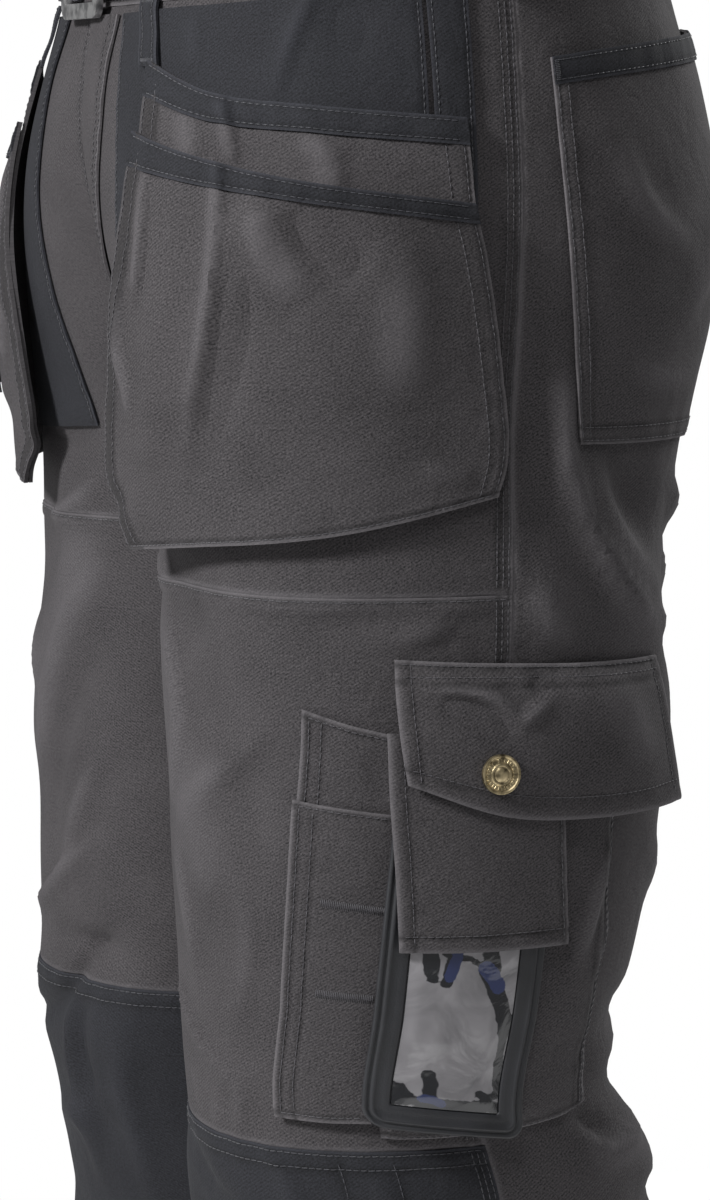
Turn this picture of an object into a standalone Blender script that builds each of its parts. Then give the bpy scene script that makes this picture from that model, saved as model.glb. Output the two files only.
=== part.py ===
# Work trousers with holster pockets, worn form, built panel by panel
# Units are metres in the model and millimetres in the tables (MM turns them)
# +Z is up, the front faces -Y, the wearer's left is +X, the origin is the waist's centre

import math

import bmesh
import bpy
import numpy as np

MM = 0.001

# Cloth and seams
WALL = 1.6              # a single layer of twill, as a wall
BAND_WALL = 1.4         # bindings, straps and pocket layers
SEAM_GAP = 0.3          # between pieces at a seam
REST = 0.7              # between a sewn-on piece and what it lies on
PLANE_GAP = SEAM_GAP / 2

# Heights, measured down from the waist
WAIST_TOP = 0.0
WAISTBAND_DEEP = 46.0
YOKE_SEAM = -304.0      # cross seam under the holsters
KNEE_SEAM = -546.0
SHIN_SEAM = -790.0
HEM = -1065.0
CROTCH = -268.0
WAIST_TILT = 8.0        # the waist is this much lower in front and higher behind
TILT_ENDS = -200.0
SEAM_BEHIND = 2.0       # degrees that the side seam lies behind the widest place

# The right knee is a little bent, which draws that leg's cloth up and forward
RIGHT_LIFT = ((14, 0), (-60, 0), (-300, 14), (-546, 28), (-800, 32), (-1100, 34))
RIGHT_FORWARD = ((14, 0), (-200, 1), (-400, 5), (-560, 12), (-700, 8), (-1100, 0))

# One leg's cloth: its centre, half widths and squareness at each height
SECTION_COLUMNS = ("z", "centre_x", "centre_y", "half_x", "half_y", "power")
SECTIONS = (
    (20, 0, 0, 162, 121, 2.2),
    (-10, 3, 2, 161, 124, 2.2),
    (-50, 12, 4, 157, 130, 2.2),
    (-90, 32, 4, 144, 137, 2.2),
    (-140, 56, 3, 127, 139, 2.2),
    (-190, 76, 0, 110, 131, 2.25),
    (-230, 88, -3, 100, 121, 2.3),
    (-255, 94, -4, 96.5, 116, 2.3),
    (-268, 96, -4.5, 96, 115, 2.3),
    (-290, 98, -5, 95, 113.5, 2.3),
    (-318, 99, -5, 94, 113, 2.3),
    (-413, 100, -8, 92, 110, 2.3),
    (-480, 101, -13, 90, 102, 2.3),
    (-528, 101, -17.5, 88, 95.5, 2.3),
    (-572, 101, -7, 88, 106, 2.3),
    (-620, 101, -2, 86, 103, 2.25),
    (-700, 102, 4, 82, 98, 2.2),
    (-800, 103, 8, 78, 92, 2.2),
    (-900, 104, 12, 75, 87, 2.2),
    (-1000, 105, 16, 72, 82, 2.2),
    (-1080, 106, 18, 71, 80, 2.2),
)

# Soft folds of the legs: a line on the cloth from u0, z0 to u1, z1, with how wide and how high
# u is measured round the leg from the side seam, forward negative, and a trough has a negative height
FOLD_COLUMNS = ("side", "u0", "z0", "u1", "z1", "wide", "high")
FOLDS = (
    ("both", -205, -330, -140, -420, 24, 3.0),
    ("both", -165, -318, -100, -372, 22, -2.0),
    ("both", 60, -262, 150, -306, 24, -4.0),
    ("both", 40, -300, 130, -372, 26, 3.0),
    ("both", 110, -330, 205, -420, 28, -3.0),
    ("left", 78, -500, 180, -524, 22, -4.0),
    ("left", 60, -566, 170, -578, 26, 4.0),
    ("right", 70, -486, 190, -516, 22, -4.0),
    ("right", 60, -560, 180, -590, 26, 5.0),
    ("both", -205, -540, -150, -600, 24, -3.0),
    ("both", -60, -690, 60, -740, 30, 3.0),
    ("both", 40, -800, 170, -850, 28, -3.0),
    ("both", -150, -880, -20, -920, 28, 3.0),
    ("both", -120, -985, 60, -1010, 26, 4.0),
    ("both", -60, -1028, 140, -1042, 22, -3.0),
)

FOLD_FADE = 0.45        # radians from the inseam over which folds die out

CLOTH_GREY = (0.070, 0.066, 0.070)
CLOTH_BLACK = (0.022, 0.024, 0.032)
WEBBING = (0.020, 0.020, 0.022)
RUBBER_BLACK = (0.016, 0.017, 0.020)
STEEL = (0.55, 0.55, 0.56)
OLD_BRASS = (0.30, 0.24, 0.15)
CLEAR_FILM = (0.30, 0.31, 0.33)


def column(name):
    """One named column of the section table, by rising height."""
    i = SECTION_COLUMNS.index(name)
    return np.array([row[i] for row in SECTIONS[::-1]], float)


def smooth_column(name, z):
    """A section value at any height, on a smooth curve through the table's rows."""
    heights, values = column("z"), column(name)
    z = np.clip(z, heights[0], heights[-1])
    slopes = np.gradient(values, heights)
    i = np.clip(np.searchsorted(heights, z) - 1, 0, len(heights) - 2)
    step = heights[i + 1] - heights[i]
    t = (z - heights[i]) / step
    near = (1 + 2 * t) * (1 - t) ** 2 * values[i] + t * (1 - t) ** 2 * step * slopes[i]
    far = t * t * (3 - 2 * t) * values[i + 1] + t * t * (t - 1) * step * slopes[i + 1]
    return near + far


def table_value(table, z):
    """A value from a table of (height, value) rows."""
    rows = sorted(table)
    return np.interp(z, [r[0] for r in rows], [r[1] for r in rows])


def superellipse(angle, z):
    """The plain section's x and y at an angle from the widest place, for any heights."""
    power = 2 / smooth_column("power", z)
    c, s = np.cos(angle), np.sin(angle)
    x = smooth_column("centre_x", z) + smooth_column("half_x", z) * np.sign(c) * np.abs(c) ** power
    y = smooth_column("centre_y", z) + smooth_column("half_y", z) * np.sign(s) * np.abs(s) ** power
    return x, y


class Leg:
    """Half of the trousers: places points by distance round the cloth, height and height off it."""

    reach = 400.0       # how far round the cloth the table goes, each way
    round_step = 4.0
    height_step = 5.0

    def __init__(self, side):
        self.side = side
        self.sign = 1.0 if side == "left" else -1.0
        self.us = np.arange(-self.reach, self.reach + 1, self.round_step)
        self.zs = np.arange(HEM - 15, 20.1, self.height_step)
        sweep = np.radians(np.linspace(-215, 215, 861)) + math.radians(SEAM_BEHIND)
        rows = []
        self.around = []
        for z in self.zs:
            x, y = superellipse(sweep, np.full_like(sweep, z))
            along = np.concatenate([[0], np.cumsum(np.hypot(np.diff(x), np.diff(y)))])
            along -= along[len(along) // 2]
            self.around.append(along)
            rows.append(np.interp(self.us, along, sweep))
        self.angles = np.array(rows)
        self.sweep = sweep
        self.folds = [f for f in FOLDS if f[0] in ("both", side)]

    def angle(self, u, z):
        """The section's angle at a distance u round the cloth."""
        i = np.clip((u - self.us[0]) / self.round_step, 0, len(self.us) - 1.001)
        k = np.clip((z - self.zs[0]) / self.height_step, 0, len(self.zs) - 1.001)
        i0, k0 = i.astype(int), k.astype(int)
        i, k = i - i0, k - k0
        low = self.angles[k0, i0] * (1 - i) + self.angles[k0, i0 + 1] * i
        high = self.angles[k0 + 1, i0] * (1 - i) + self.angles[k0 + 1, i0 + 1] * i
        return low * (1 - k) + high * k

    def edge(self, z, behind):
        """The distance round to the centre line, or to the inseam below the crotch."""
        centre, half = smooth_column("centre_x", z), smooth_column("half_x", z)
        share = np.clip((centre - PLANE_GAP) / half, -1, 1)
        turn = math.pi if share >= 1 else math.acos(-math.copysign(
            abs(share) ** (smooth_column("power", z) / 2), share))
        turn = turn if behind else -turn
        k = float(np.clip((z - self.zs[0]) / self.height_step, 0, len(self.zs) - 1.001))
        low, high = (np.interp(turn, self.sweep, self.around[int(k) + n]) for n in (0, 1))
        return float(low + (high - low) * (k - int(k)))

    def fold(self, u, z):
        """How far the cloth's soft folds move it out."""
        move = np.zeros_like(u)
        for _, u0, z0, u1, z1, wide, high in self.folds:
            du, dz = u1 - u0, z1 - z0
            t = np.clip(((u - u0) * du + (z - z0) * dz) / (du * du + dz * dz), 0, 1)
            away = np.hypot(u - u0 - t * du, z - z0 - t * dz)
            move += high * np.exp(-((away / wide) ** 2))
        inseam_fade = np.clip((math.pi - np.abs(self.angle(u, z))) / FOLD_FADE, 0, 1)
        return move * inseam_fade

    def plain(self, u, z):
        x, y = superellipse(self.angle(u, z), z)
        return np.stack([x, y, z], -1)

    def place(self, u, z, out):
        """Points in metres, with the folds, the clear centre plane and the bent right knee."""
        u, z = np.broadcast_arrays(np.asarray(u, float), np.asarray(z, float))
        h = 3.0
        across = self.plain(u + h, z) - self.plain(u - h, z)
        up = self.plain(u, z + h) - self.plain(u, z - h)
        normal = np.cross(across, up)
        normal /= np.linalg.norm(normal, axis=-1, keepdims=True)
        p = self.plain(u, z) + normal * (self.fold(u, z) + out)[..., None]
        p[..., 0] = np.maximum(p[..., 0], PLANE_GAP) * self.sign
        if self.side == "right":
            p[..., 1] -= table_value(RIGHT_FORWARD, z)
            p[..., 2] += table_value(RIGHT_LIFT, z)
        return p * MM


LEGS = {}


def tilt(u, z):
    """The waist line's slope, front down and back up, which fades out below the pockets."""
    fade = np.clip((z - TILT_ENDS) / -TILT_ENDS, 0, 1)
    return np.sign(u) * WAIST_TILT * np.sin(np.clip(np.abs(u) / 240, 0, 1) * math.pi / 2) ** 2 * fade


# Materials


def material(name, colour, roughness, metallic=0.0):
    found = bpy.data.materials.get(name)
    if found:
        return found
    made = bpy.data.materials.new(name)
    made.use_nodes = True
    shader = made.node_tree.nodes["Principled BSDF"]
    shader.inputs["Base Color"].default_value = (*colour, 1)
    shader.inputs["Roughness"].default_value = roughness
    shader.inputs["Metallic"].default_value = metallic
    made.diffuse_color = (*colour, 1)
    return made


def grey_cloth():
    return material("grey_twill", CLOTH_GREY, 0.9)


def black_cloth():
    return material("black_twill", CLOTH_BLACK, 0.88)


# Meshes


def object_from(name, points, faces, finish, smooth=True):
    """One closed body as an object, with its faces turned outwards."""
    mesh = bpy.data.meshes.new(name)
    mesh.from_pydata([tuple(p) for p in points], [], faces)
    work = bmesh.new()
    work.from_mesh(mesh)
    bmesh.ops.recalc_face_normals(work, faces=work.faces)
    bmesh.ops.triangulate(work, faces=work.faces)
    work.to_mesh(mesh)
    work.free()
    if smooth:
        mesh.shade_smooth()
        mesh.set_sharp_from_angle(angle=math.radians(40))
    mesh.materials.append(finish)
    made = bpy.data.objects.new(name, mesh)
    bpy.context.scene.collection.objects.link(made)
    return made


def wall_faces(rows, columns):
    """Quads of a wall made from an outer grid and an inner grid of the same size."""
    wide, layer = columns + 1, (rows + 1) * (columns + 1)
    faces = []
    for r in range(rows):
        for c in range(columns):
            a = r * wide + c
            faces.append((a, a + 1, a + wide + 1, a + wide))
            faces.append((layer + a, layer + a + wide, layer + a + wide + 1, layer + a + 1))
    rim = [c for c in range(columns)]
    rim += [r * wide + columns for r in range(rows)]
    rim += [rows * wide + c for c in range(columns, 0, -1)]
    rim += [r * wide for r in range(rows, 0, -1)]
    for a, b in zip(rim, rim[1:] + rim[:1]):
        faces.append((b, a, layer + a, layer + b))
    return faces


def wall(name, outer, inner, finish):
    rows, columns = outer.shape[0] - 1, outer.shape[1] - 1
    points = np.concatenate([outer.reshape(-1, 3), inner.reshape(-1, 3)])
    return object_from(name, points, wall_faces(rows, columns), finish)


# Main panels of the legs


def panel_rows(top, bottom, step):
    """Row heights from top to bottom, closer together where the crotch curve turns."""
    count = max(1, round((top - bottom) / step))
    rows = set(np.round(np.linspace(top, bottom, count + 1), 3))
    near = [CROTCH + d for d in (42, 24, 13, 6, 0, -6)]
    inside = [z for z in near if bottom + 4 < z < top - 4]
    if inside:
        rows = {z for z in rows if not inside[-1] - 9 < z < inside[0] + 9 or z in (top, bottom)}
    return np.array(sorted(rows | set(inside), reverse=True))


def panel_grid(leg, heights, columns, behind):
    """Distances round and heights of a front or back panel's points."""
    us, zs = [], []
    for z in heights:
        turned = z + (WAIST_TILT if behind else -WAIST_TILT) * np.clip((z - TILT_ENDS) / -TILT_ENDS, 0, 1)
        centre = leg.edge(turned, behind)
        side = PLANE_GAP if behind else -PLANE_GAP
        inseam = centre - PLANE_GAP if behind else centre + PLANE_GAP
        row = np.linspace(side, inseam, columns + 1)
        us.append(row)
        zs.append(z + tilt(row, np.full_like(row, z)))
    return np.array(us), np.array(zs)


def panel(side, name, heights, columns, behind, finish):
    leg = LEGS[side]
    u, z = panel_grid(leg, heights, columns, behind)
    outer = leg.place(u, z, np.zeros_like(u))
    inner = leg.place(u, z, np.full_like(u, -WALL))
    return wall(f"{name}_{side}", outer, inner, finish)


# Front panels from the waistband to the hem: name, lower edge, row step, columns, finish
FRONT_PANELS = (
    ("front_upper", YOKE_SEAM, 30, 12, grey_cloth),
    ("front_thigh", KNEE_SEAM, 30, 11, grey_cloth),
    ("knee_patch", SHIN_SEAM, 34, 10, black_cloth),
    ("front_shin", HEM, 39, 10, grey_cloth),
)
BACK_COLUMNS = 11


def leg_panels(side):
    """Front panels with seams between them, and one back panel whose rows meet theirs."""
    top = WAIST_TOP - WAISTBAND_DEEP
    behind = []
    for name, bottom, step, columns, finish in FRONT_PANELS:
        heights = panel_rows(top, bottom, step)
        behind += list(heights[bool(behind):])
        heights[0] -= PLANE_GAP
        if bottom != HEM:
            heights[-1] += PLANE_GAP
        panel(side, name, heights, columns, False, finish())
        top = bottom
    behind[0] -= PLANE_GAP
    panel(side, "back_leg", np.array(behind), BACK_COLUMNS, True, grey_cloth())
    waistband(side)


WAISTBAND_PROUD = 1.0


def waistband(side):
    """Half of the waistband, thicker than the panels that hang from it."""
    leg = LEGS[side]
    front = leg.edge(WAIST_TOP - WAIST_TILT - 20, False)
    back = leg.edge(WAIST_TOP + WAIST_TILT - 20, True)
    row = np.linspace(front, back, 27)
    heights = np.array([WAIST_TOP, WAIST_TOP - WAISTBAND_DEEP / 2, WAIST_TOP - WAISTBAND_DEEP + PLANE_GAP])
    u = np.repeat(row[None, :], len(heights), 0)
    z = heights[:, None] + tilt(u, np.repeat(heights[:, None], len(row), 1))
    z[-1] += 0.15
    outer = leg.place(u, z, np.full_like(u, WAISTBAND_PROUD))
    inner = leg.place(u, z, np.full_like(u, -WALL))
    for grid in (outer, inner):
        grid[:, 0, 0] = leg.sign * PLANE_GAP * MM
        grid[:, -1, 0] = leg.sign * PLANE_GAP * MM
    return wall(f"waistband_{side}", outer, inner, grey_cloth())


# Pieces that lie on the panels


def through(points, count):
    """A smooth curve through rows of control points, with count + 1 even steps."""
    p = np.asarray(points, float)
    last = len(p) - 1
    at = np.linspace(0, last, count + 1)
    i = np.minimum(at.astype(int), last - 1)
    t = (at - i).reshape([-1] + [1] * (p.ndim - 1))
    before = np.where(i > 0, i - 1, 0)
    after = np.where(i + 2 <= last, i + 2, last)
    m0 = (p[i + 1] - p[before]) / np.where(i > 0, 2, 1).reshape(t.shape)
    m1 = (p[after] - p[i]) / np.where(i + 2 <= last, 2, 1).reshape(t.shape)
    return ((1 + 2 * t) * (1 - t) ** 2 * p[i] + t * (1 - t) ** 2 * m0
            + t * t * (3 - 2 * t) * p[i + 1] + t * t * (t - 1) * m1)


class Patch:
    """A cut piece on one leg: a lattice of (u, z, out) rows from its top edge to its bottom edge."""

    def __init__(self, side, rows, columns, down, ridges=()):
        self.side, self.leg = side, LEGS[side]
        self.columns, self.down = columns, down
        across = np.array([through(row, columns) for row in rows])
        self.grid = through(across, down)
        for u0, z0, u1, z1, wide, high in ridges:
            u, z = self.grid[..., 0], self.grid[..., 1]
            du, dz = u1 - u0, z1 - z0
            t = np.clip(((u - u0) * du + (z - z0) * dz) / (du * du + dz * dz), 0, 1)
            away = np.hypot(u - u0 - t * du, z - z0 - t * dz)
            self.grid[..., 2] += high * np.exp(-((away / wide) ** 2))

    def sample(self, s, t):
        """(u, z, out) at shares s across and t down."""
        s, t = np.broadcast_arrays(np.asarray(s, float), np.asarray(t, float))
        i, k = s * self.columns, t * self.down
        i0 = np.clip(i.astype(int), 0, self.columns - 1)
        k0 = np.clip(k.astype(int), 0, self.down - 1)
        i, k = (i - i0)[..., None], (k - k0)[..., None]
        g = self.grid
        low = g[k0, i0] * (1 - i) + g[k0, i0 + 1] * i
        high = g[k0 + 1, i0] * (1 - i) + g[k0 + 1, i0 + 1] * i
        return low * (1 - k) + high * k

    def points(self, s, t, up):
        """Points in metres, up off the patch's inner face."""
        g = self.sample(s, t)
        return self.leg.place(g[..., 0], g[..., 1], g[..., 2] + up)

    def build(self, name, thick, finish):
        g = self.grid
        outer = self.leg.place(g[..., 0], g[..., 1], g[..., 2] + thick)
        inner = self.leg.place(g[..., 0], g[..., 1], g[..., 2])
        return wall(f"{name}_{self.side}", outer, inner, finish)

    def strip(self, name, s_range, t_range, up, thick, finish, across=None, down=None):
        """A flat band or strap that follows the patch, up off its inner face."""
        across = across or max(1, round(self.columns * (s_range[1] - s_range[0])))
        down = down or max(1, round(self.down * (t_range[1] - t_range[0])))
        s, t = np.meshgrid(np.linspace(*s_range, across + 1), np.linspace(*t_range, down + 1))
        return wall(name, self.points(s, t, up + thick), self.points(s, t, up), finish)


# Rows of (u, z, out) from front to back, top row first
HOLSTER_BACK = (
    ((-172, -78, 3.4), (-134, -92, 3.4), (-90, -97, 3.4), (-26, -102, 3.4)),
    ((-176, -136, 9.0), (-134, -140, 5.0), (-84, -142, 3.6), (-22, -146, 3.4)),
    ((-186, -185, 12.0), (-134, -188, 6.0), (-80, -190, 3.8), (-12, -192, 3.0)),
    ((-191, -240, 17.0), (-136, -238, 8.0), (-76, -236, 4.4), (-4, -232, 1.6)),
    ((-190, -288, 16.0), (-136, -283, 9.0), (-76, -276, 5.0), (-8, -262, 1.2)),
)
HOLSTER_FRONT = (
    ((-175, -109, 8.4), (-134, -121, 14.0), (-90, -131, 15.0), (-24, -138, 5.6)),
    ((-181, -155, 12.6), (-134, -158, 16.0), (-84, -160, 16.0), (-17, -166, 5.4)),
    ((-187, -200, 15.4), (-134, -200, 16.0), (-80, -200, 14.0), (-9, -202, 5.0)),
    ((-191, -245, 19.4), (-136, -242, 14.0), (-76, -240, 10.0), (-4, -234, 3.9)),
    ((-190, -288, 18.0), (-136, -283, 11.2), (-76, -276, 7.2), (-8, -262, 3.4)),
)
HOLSTER_RIDGES = ((-150, -140, -152, -240, 13, 4.0), (-112, -150, -134, -215, 12, 3.5))
POCKET_FACING = (
    ((-204, -56, REST), (-150, -54, REST), (-92, -51, REST), (-41, -49, REST)),
    ((-206, -120, REST), (-150, -120, REST), (-92, -120, REST), (-41, -120, REST)),
    ((-212, -190, REST), (-156, -190, REST), (-98, -190, REST), (-40, -190, REST)),
    ((-216, -258, REST), (-170, -262, REST), (-120, -264, REST), (-70, -262, REST)),
)
POCKET_BINDING = (
    ((-39, -48.6, REST), (-30, -48, REST), (-21, -47.6, REST)),
    ((-38.5, -105, REST), (-30, -105, REST), (-21, -105, REST)),
    ((-38, -160, REST), (-30, -160, REST), (-21, -160, REST)),
)
BACK_POCKET = (
    ((15, -76, REST), (55, -71, 2.2), (110, -66, 2.6), (168, -62, REST)),
    ((19, -130, REST), (60, -126, 3.2), (112, -122, 3.4), (170, -118, REST)),
    ((26, -188, REST), (66, -186, 3.0), (114, -184, 3.2), (168, -182, REST)),
    ((31, -241, REST), (68, -242, REST), (112, -242, REST), (162, -241, REST)),
)
BAND_SHARE_BACK_POCKET = 0.073
BAND_SHARE_HOLSTER_BACK = 0.066
BAND_SHARE_HOLSTER_FRONT = 0.080


def holster(side):
    """A hanging pocket of two layers, open at the top of each, with black bindings."""
    back = Patch(side, HOLSTER_BACK, 11, 9)
    back.build("holster_back", BAND_WALL, grey_cloth())
    up = BAND_WALL + 0.35
    back.strip(f"holster_back_binding_{side}", (0, 1), (0, BAND_SHARE_HOLSTER_BACK), up, 1.2,
               black_cloth(), 11, 1)
    front = Patch(side, HOLSTER_FRONT, 11, 9, HOLSTER_RIDGES)
    front.build("holster_front", BAND_WALL, grey_cloth())
    front.strip(f"holster_front_binding_{side}", (0, 1), (0, BAND_SHARE_HOLSTER_FRONT), up, 1.2,
                black_cloth(), 11, 1)
    return front


def front_pocket(side):
    """The black facing between the waistband and the holster, and its edge binding."""
    Patch(side, POCKET_FACING, 8, 7).build("front_pocket_facing", BAND_WALL, black_cloth())
    Patch(side, POCKET_BINDING, 2, 5).build("front_pocket_binding", BAND_WALL, black_cloth())


def back_pocket(side):
    pocket = Patch(side, BACK_POCKET, 9, 8)
    pocket.build("back_pocket", BAND_WALL, grey_cloth())
    pocket.strip(f"back_pocket_binding_{side}", (0, 1), (0, BAND_SHARE_BACK_POCKET),
                 BAND_WALL + 0.35, 1.2, black_cloth(), 9, 1)


HAMMER_LOOP_OUT = (0.35, 9.0, 12.0, 12.5, 12.0, 9.0, 0.35)
HAMMER_LOOP_SPAN = (0.24, 0.52)     # shares across the holster
HAMMER_LOOP_DROP = (0.50, 0.70)     # shares down it


def hammer_loop(front):
    """A stiff strap on the right holster that stands out as a loop."""
    count = len(HAMMER_LOOP_OUT)
    s = np.linspace(*HAMMER_LOOP_SPAN, count)
    t = np.linspace(*HAMMER_LOOP_DROP, 3)
    s, t = np.meshgrid(s, t)
    up = BAND_WALL + np.repeat(np.array(HAMMER_LOOP_OUT)[None, :], 3, 0)
    shares = np.linspace(0, 1, count)
    squeeze = np.repeat((HAMMER_LOOP_SPAN[0] + 0.05 * np.sin(shares * 2 * math.pi))[None, :], 3, 0)
    s = s + squeeze - HAMMER_LOOP_SPAN[0]
    outer, inner = front.points(s, t, up + 1.8), front.points(s, t, up)
    wall("hammer_loop_right", outer, inner, black_cloth())


STRAP_ROWS = (
    ((-187, -33, 9.0), (-169, -33, 9.0)),
    ((-187, -48, 8.6), (-169, -48, 8.6)),
    ((-186, -62, 8.0), (-168, -62, 8.0)),
    ((-183, -78, 7.4), (-166, -80, 7.4)),
    ((-183, -97, 9.0), (-166, -99, 8.6)),
)


def fly():
    """The fly facing on the left front: a straight strip that curves in to the centre at its foot."""
    leg = LEGS["left"]
    heights = np.array([-56, -80, -104, -128, -152, -174, -190, -201.0])
    wide = np.array([40, 40, 40, 39, 37, 31, 23, 12.0])
    us, zs = [], []
    for z, w in zip(heights, wide):
        centre = leg.edge(z, False) + 1.0
        us.append(np.linspace(centre, centre + w, 5))
        zs.append(np.full(5, z))
    u, z = np.array(us), np.array(zs)
    up = np.repeat(np.array([REST] * 5 + [1.0, 1.6, 2.2])[:, None], 5, 1)
    wall("fly_left", leg.place(u, z, up + BAND_WALL), leg.place(u, z, up), grey_cloth())


# The left thigh's pockets

THIGH_BAG = (
    ((-45, -346, REST), (-33, -346, 5.0), (4, -347, 7.5), (42, -349, 5.0), (56, -350, REST)),
    ((-45, -392, REST), (-33, -392, 7.0), (4, -393, 9.0), (43, -395, 7.5), (56, -396, REST)),
    ((-45, -440, REST), (-33, -440, 7.0), (4, -441, 9.0), (42, -443, 7.5), (55, -444, REST)),
    ((-45, -490, REST), (-33, -490, 7.0), (4, -491, 9.0), (42, -490, 7.0), (55, -489, 1.2)),
    ((-45, -526, REST), (-33, -527, 6.0), (4, -527, 7.0), (42, -524, 5.5), (55, -521, 2.4)),
    ((-45, -539, REST), (-33, -540, REST), (4, -540, REST), (42, -537, 1.4), (55, -533, 2.8)),
)
THIGH_FLAP = (
    ((-52, -330, REST), (-8, -333, REST), (34, -335, REST), (79, -336, REST)),
    ((-52, -344, 10.5), (-8, -347, 12.0), (34, -349, 11.5), (80, -350, 5.0)),
    ((-50, -364, 17.4), (-8, -368, 18.4), (34, -372, 16.8), (84, -372, 9.0)),
    ((-47, -381, 18.8), (-8, -396, 19.4), (34, -400, 17.6), (90, -400, 13.0)),
)
ID_COVER = (
    ((-55, -360, 11.2), (-19, -362, 11.8), (17, -364, 10.6)),
    ((-53, -389, 15.0), (-17, -389, 15.6), (19, -391, 14.7)),
    ((-49, -421, 15.2), (-14, -421, 15.8), (22, -421, 15.2)),
    ((-45, -454, 15.2), (-10, -455, 15.8), (26, -455, 15.2)),
)
ID_PLATE = (
    ((-51, -396, 11.4), (-17, -397, 11.9), (17, -399, 11.4)),
    ((-52, -440, 11.4), (-17, -443, 11.9), (17, -446, 11.4)),
    ((-52, -484, 11.2), (-17, -489, 11.5), (16, -494, 11.2)),
    ((-51, -530, 10.8), (-18, -536, 11.0), (14, -542, 10.8)),
)
TOOL_BACK = (
    ((-91, -352, REST), (-71, -358, REST), (-50, -363, REST)),
    ((-92, -440, REST), (-71, -442, REST), (-50, -444, REST)),
    ((-88, -528, REST), (-69, -529, REST), (-49, -529, REST)),
)
TOOL_FRONT = (
    ((-93, -391, 2.9), (-71, -394, 3.6), (-49, -397, 2.9)),
    ((-92, -460, 2.9), (-71, -461, 3.4), (-49, -462, 2.9)),
    ((-89, -531, 2.9), (-69, -532, 2.9), (-48, -532, 2.9)),
)
ID_BACK_WALL = 0.8
ID_RIM_WALL = 1.9
ID_CORNER = 9.0
ID_RIM_WIDE = 11.0
ID_WINDOW_WALL = 1.0
BUTTON_AT = (0.305, 0.79)       # shares across and down the flap
BUTTON_PROFILE = (              # radius and height of the shank button's turned face
    (0.0, 0.0), (8.2, 0.0), (8.6, 0.6), (8.6, 1.6), (8.1, 2.2), (7.3, 2.2),
    (6.9, 1.7), (4.9, 1.7), (4.5, 2.2), (3.9, 2.2), (3.3, 2.0), (1.8, 2.7), (0.0, 3.0),
)
BUTTON_SIDES = 16


def rounded_loop(inset, corner, per_corner):
    """Shares (s, t) round a plate's rounded outline, moved in by inset."""
    wide, high = 68.0, 139.0
    loop = []
    w, h = wide / 2 - inset, high / 2 - inset
    for k, (sx, sy) in enumerate(((1, 1), (-1, 1), (-1, -1), (1, -1))):
        for i in range(per_corner + 1):
            a = math.pi / 2 * (k + i / per_corner)
            x = sx * (w - corner) + corner * math.cos(a)
            y = sy * (h - corner) + corner * math.sin(a)
            loop.append((0.5 + x / wide, 0.5 + y / high))
    return np.array(loop)


def with_straights(loop, steps):
    """The loop again with points along its long sides, so that it can follow the leg's curve."""
    out = []
    for a, b in zip(loop, np.roll(loop, -1, axis=0)):
        count = max(1, round(math.hypot((b[0] - a[0]) * 68, (b[1] - a[1]) * 139) / steps))
        out += [a + (b - a) * i / count for i in range(count)]
    return np.array(out)


def ring_body(name, plate, outer, inner, low, high, finish):
    """A flat frame between two loops of shares, from low to high off the plate's inner face."""
    count = len(outer)
    levels = []
    for loop, up in ((outer, low), (outer, high), (inner, high), (inner, low)):
        levels.append(plate.points(loop[:, 0], loop[:, 1], np.full(count, up)))
    points = np.concatenate(levels)
    faces = []
    for k in range(4):
        a, b = k * count, (k + 1) % 4 * count
        for i in range(count):
            j = (i + 1) % count
            faces.append((a + i, a + j, b + j, b + i))
    return object_from(name, points, faces, finish)


def id_holder():
    """The badge holder: a black back sheet, a moulded rim and a clear window."""
    plate = Patch("left", ID_PLATE, 6, 10)
    black = material("moulded_black", RUBBER_BLACK, 0.55)
    plate.strip("id_back_left", (0.03, 0.97), (0.02, 0.98), 0, ID_BACK_WALL, black, 6, 10)
    outer = with_straights(rounded_loop(0, ID_CORNER, 4), 16)
    shares = (outer - 0.5)
    limit = np.array([0.5 - ID_RIM_WIDE / 68, 0.5 - ID_RIM_WIDE / 139])
    inner = 0.5 + np.clip(shares, -limit, limit)
    rim_low = ID_BACK_WALL + SEAM_GAP
    spread = inner + (outer - inner) * 0.02
    ring_body("id_rim_left", plate, outer, spread, rim_low, rim_low + ID_RIM_WALL, black)
    pad = 0.55
    s_in, t_in = ID_RIM_WIDE / 68 + pad / 68, ID_RIM_WIDE / 139 + pad / 139
    plate.strip("id_window_left", (s_in, 1 - s_in), (t_in, 1 - t_in), rim_low, ID_WINDOW_WALL,
                material("clear_film", CLEAR_FILM, 0.12), 4, 8)


def thigh_pocket():
    Patch("left", TOOL_BACK, 3, 10).build("tool_pocket_back", BAND_WALL, grey_cloth())
    Patch("left", TOOL_FRONT, 3, 10).build("tool_pocket_front", BAND_WALL, grey_cloth())
    Patch("left", THIGH_BAG, 10, 10).build("thigh_bag", BAND_WALL, grey_cloth())
    Patch("left", ID_COVER, 6, 7).build("id_cover", WALL, grey_cloth())
    id_holder()
    flap = Patch("left", THIGH_FLAP, 11, 6)
    flap.build("thigh_flap", WALL, grey_cloth())
    shank_button(flap)


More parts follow.
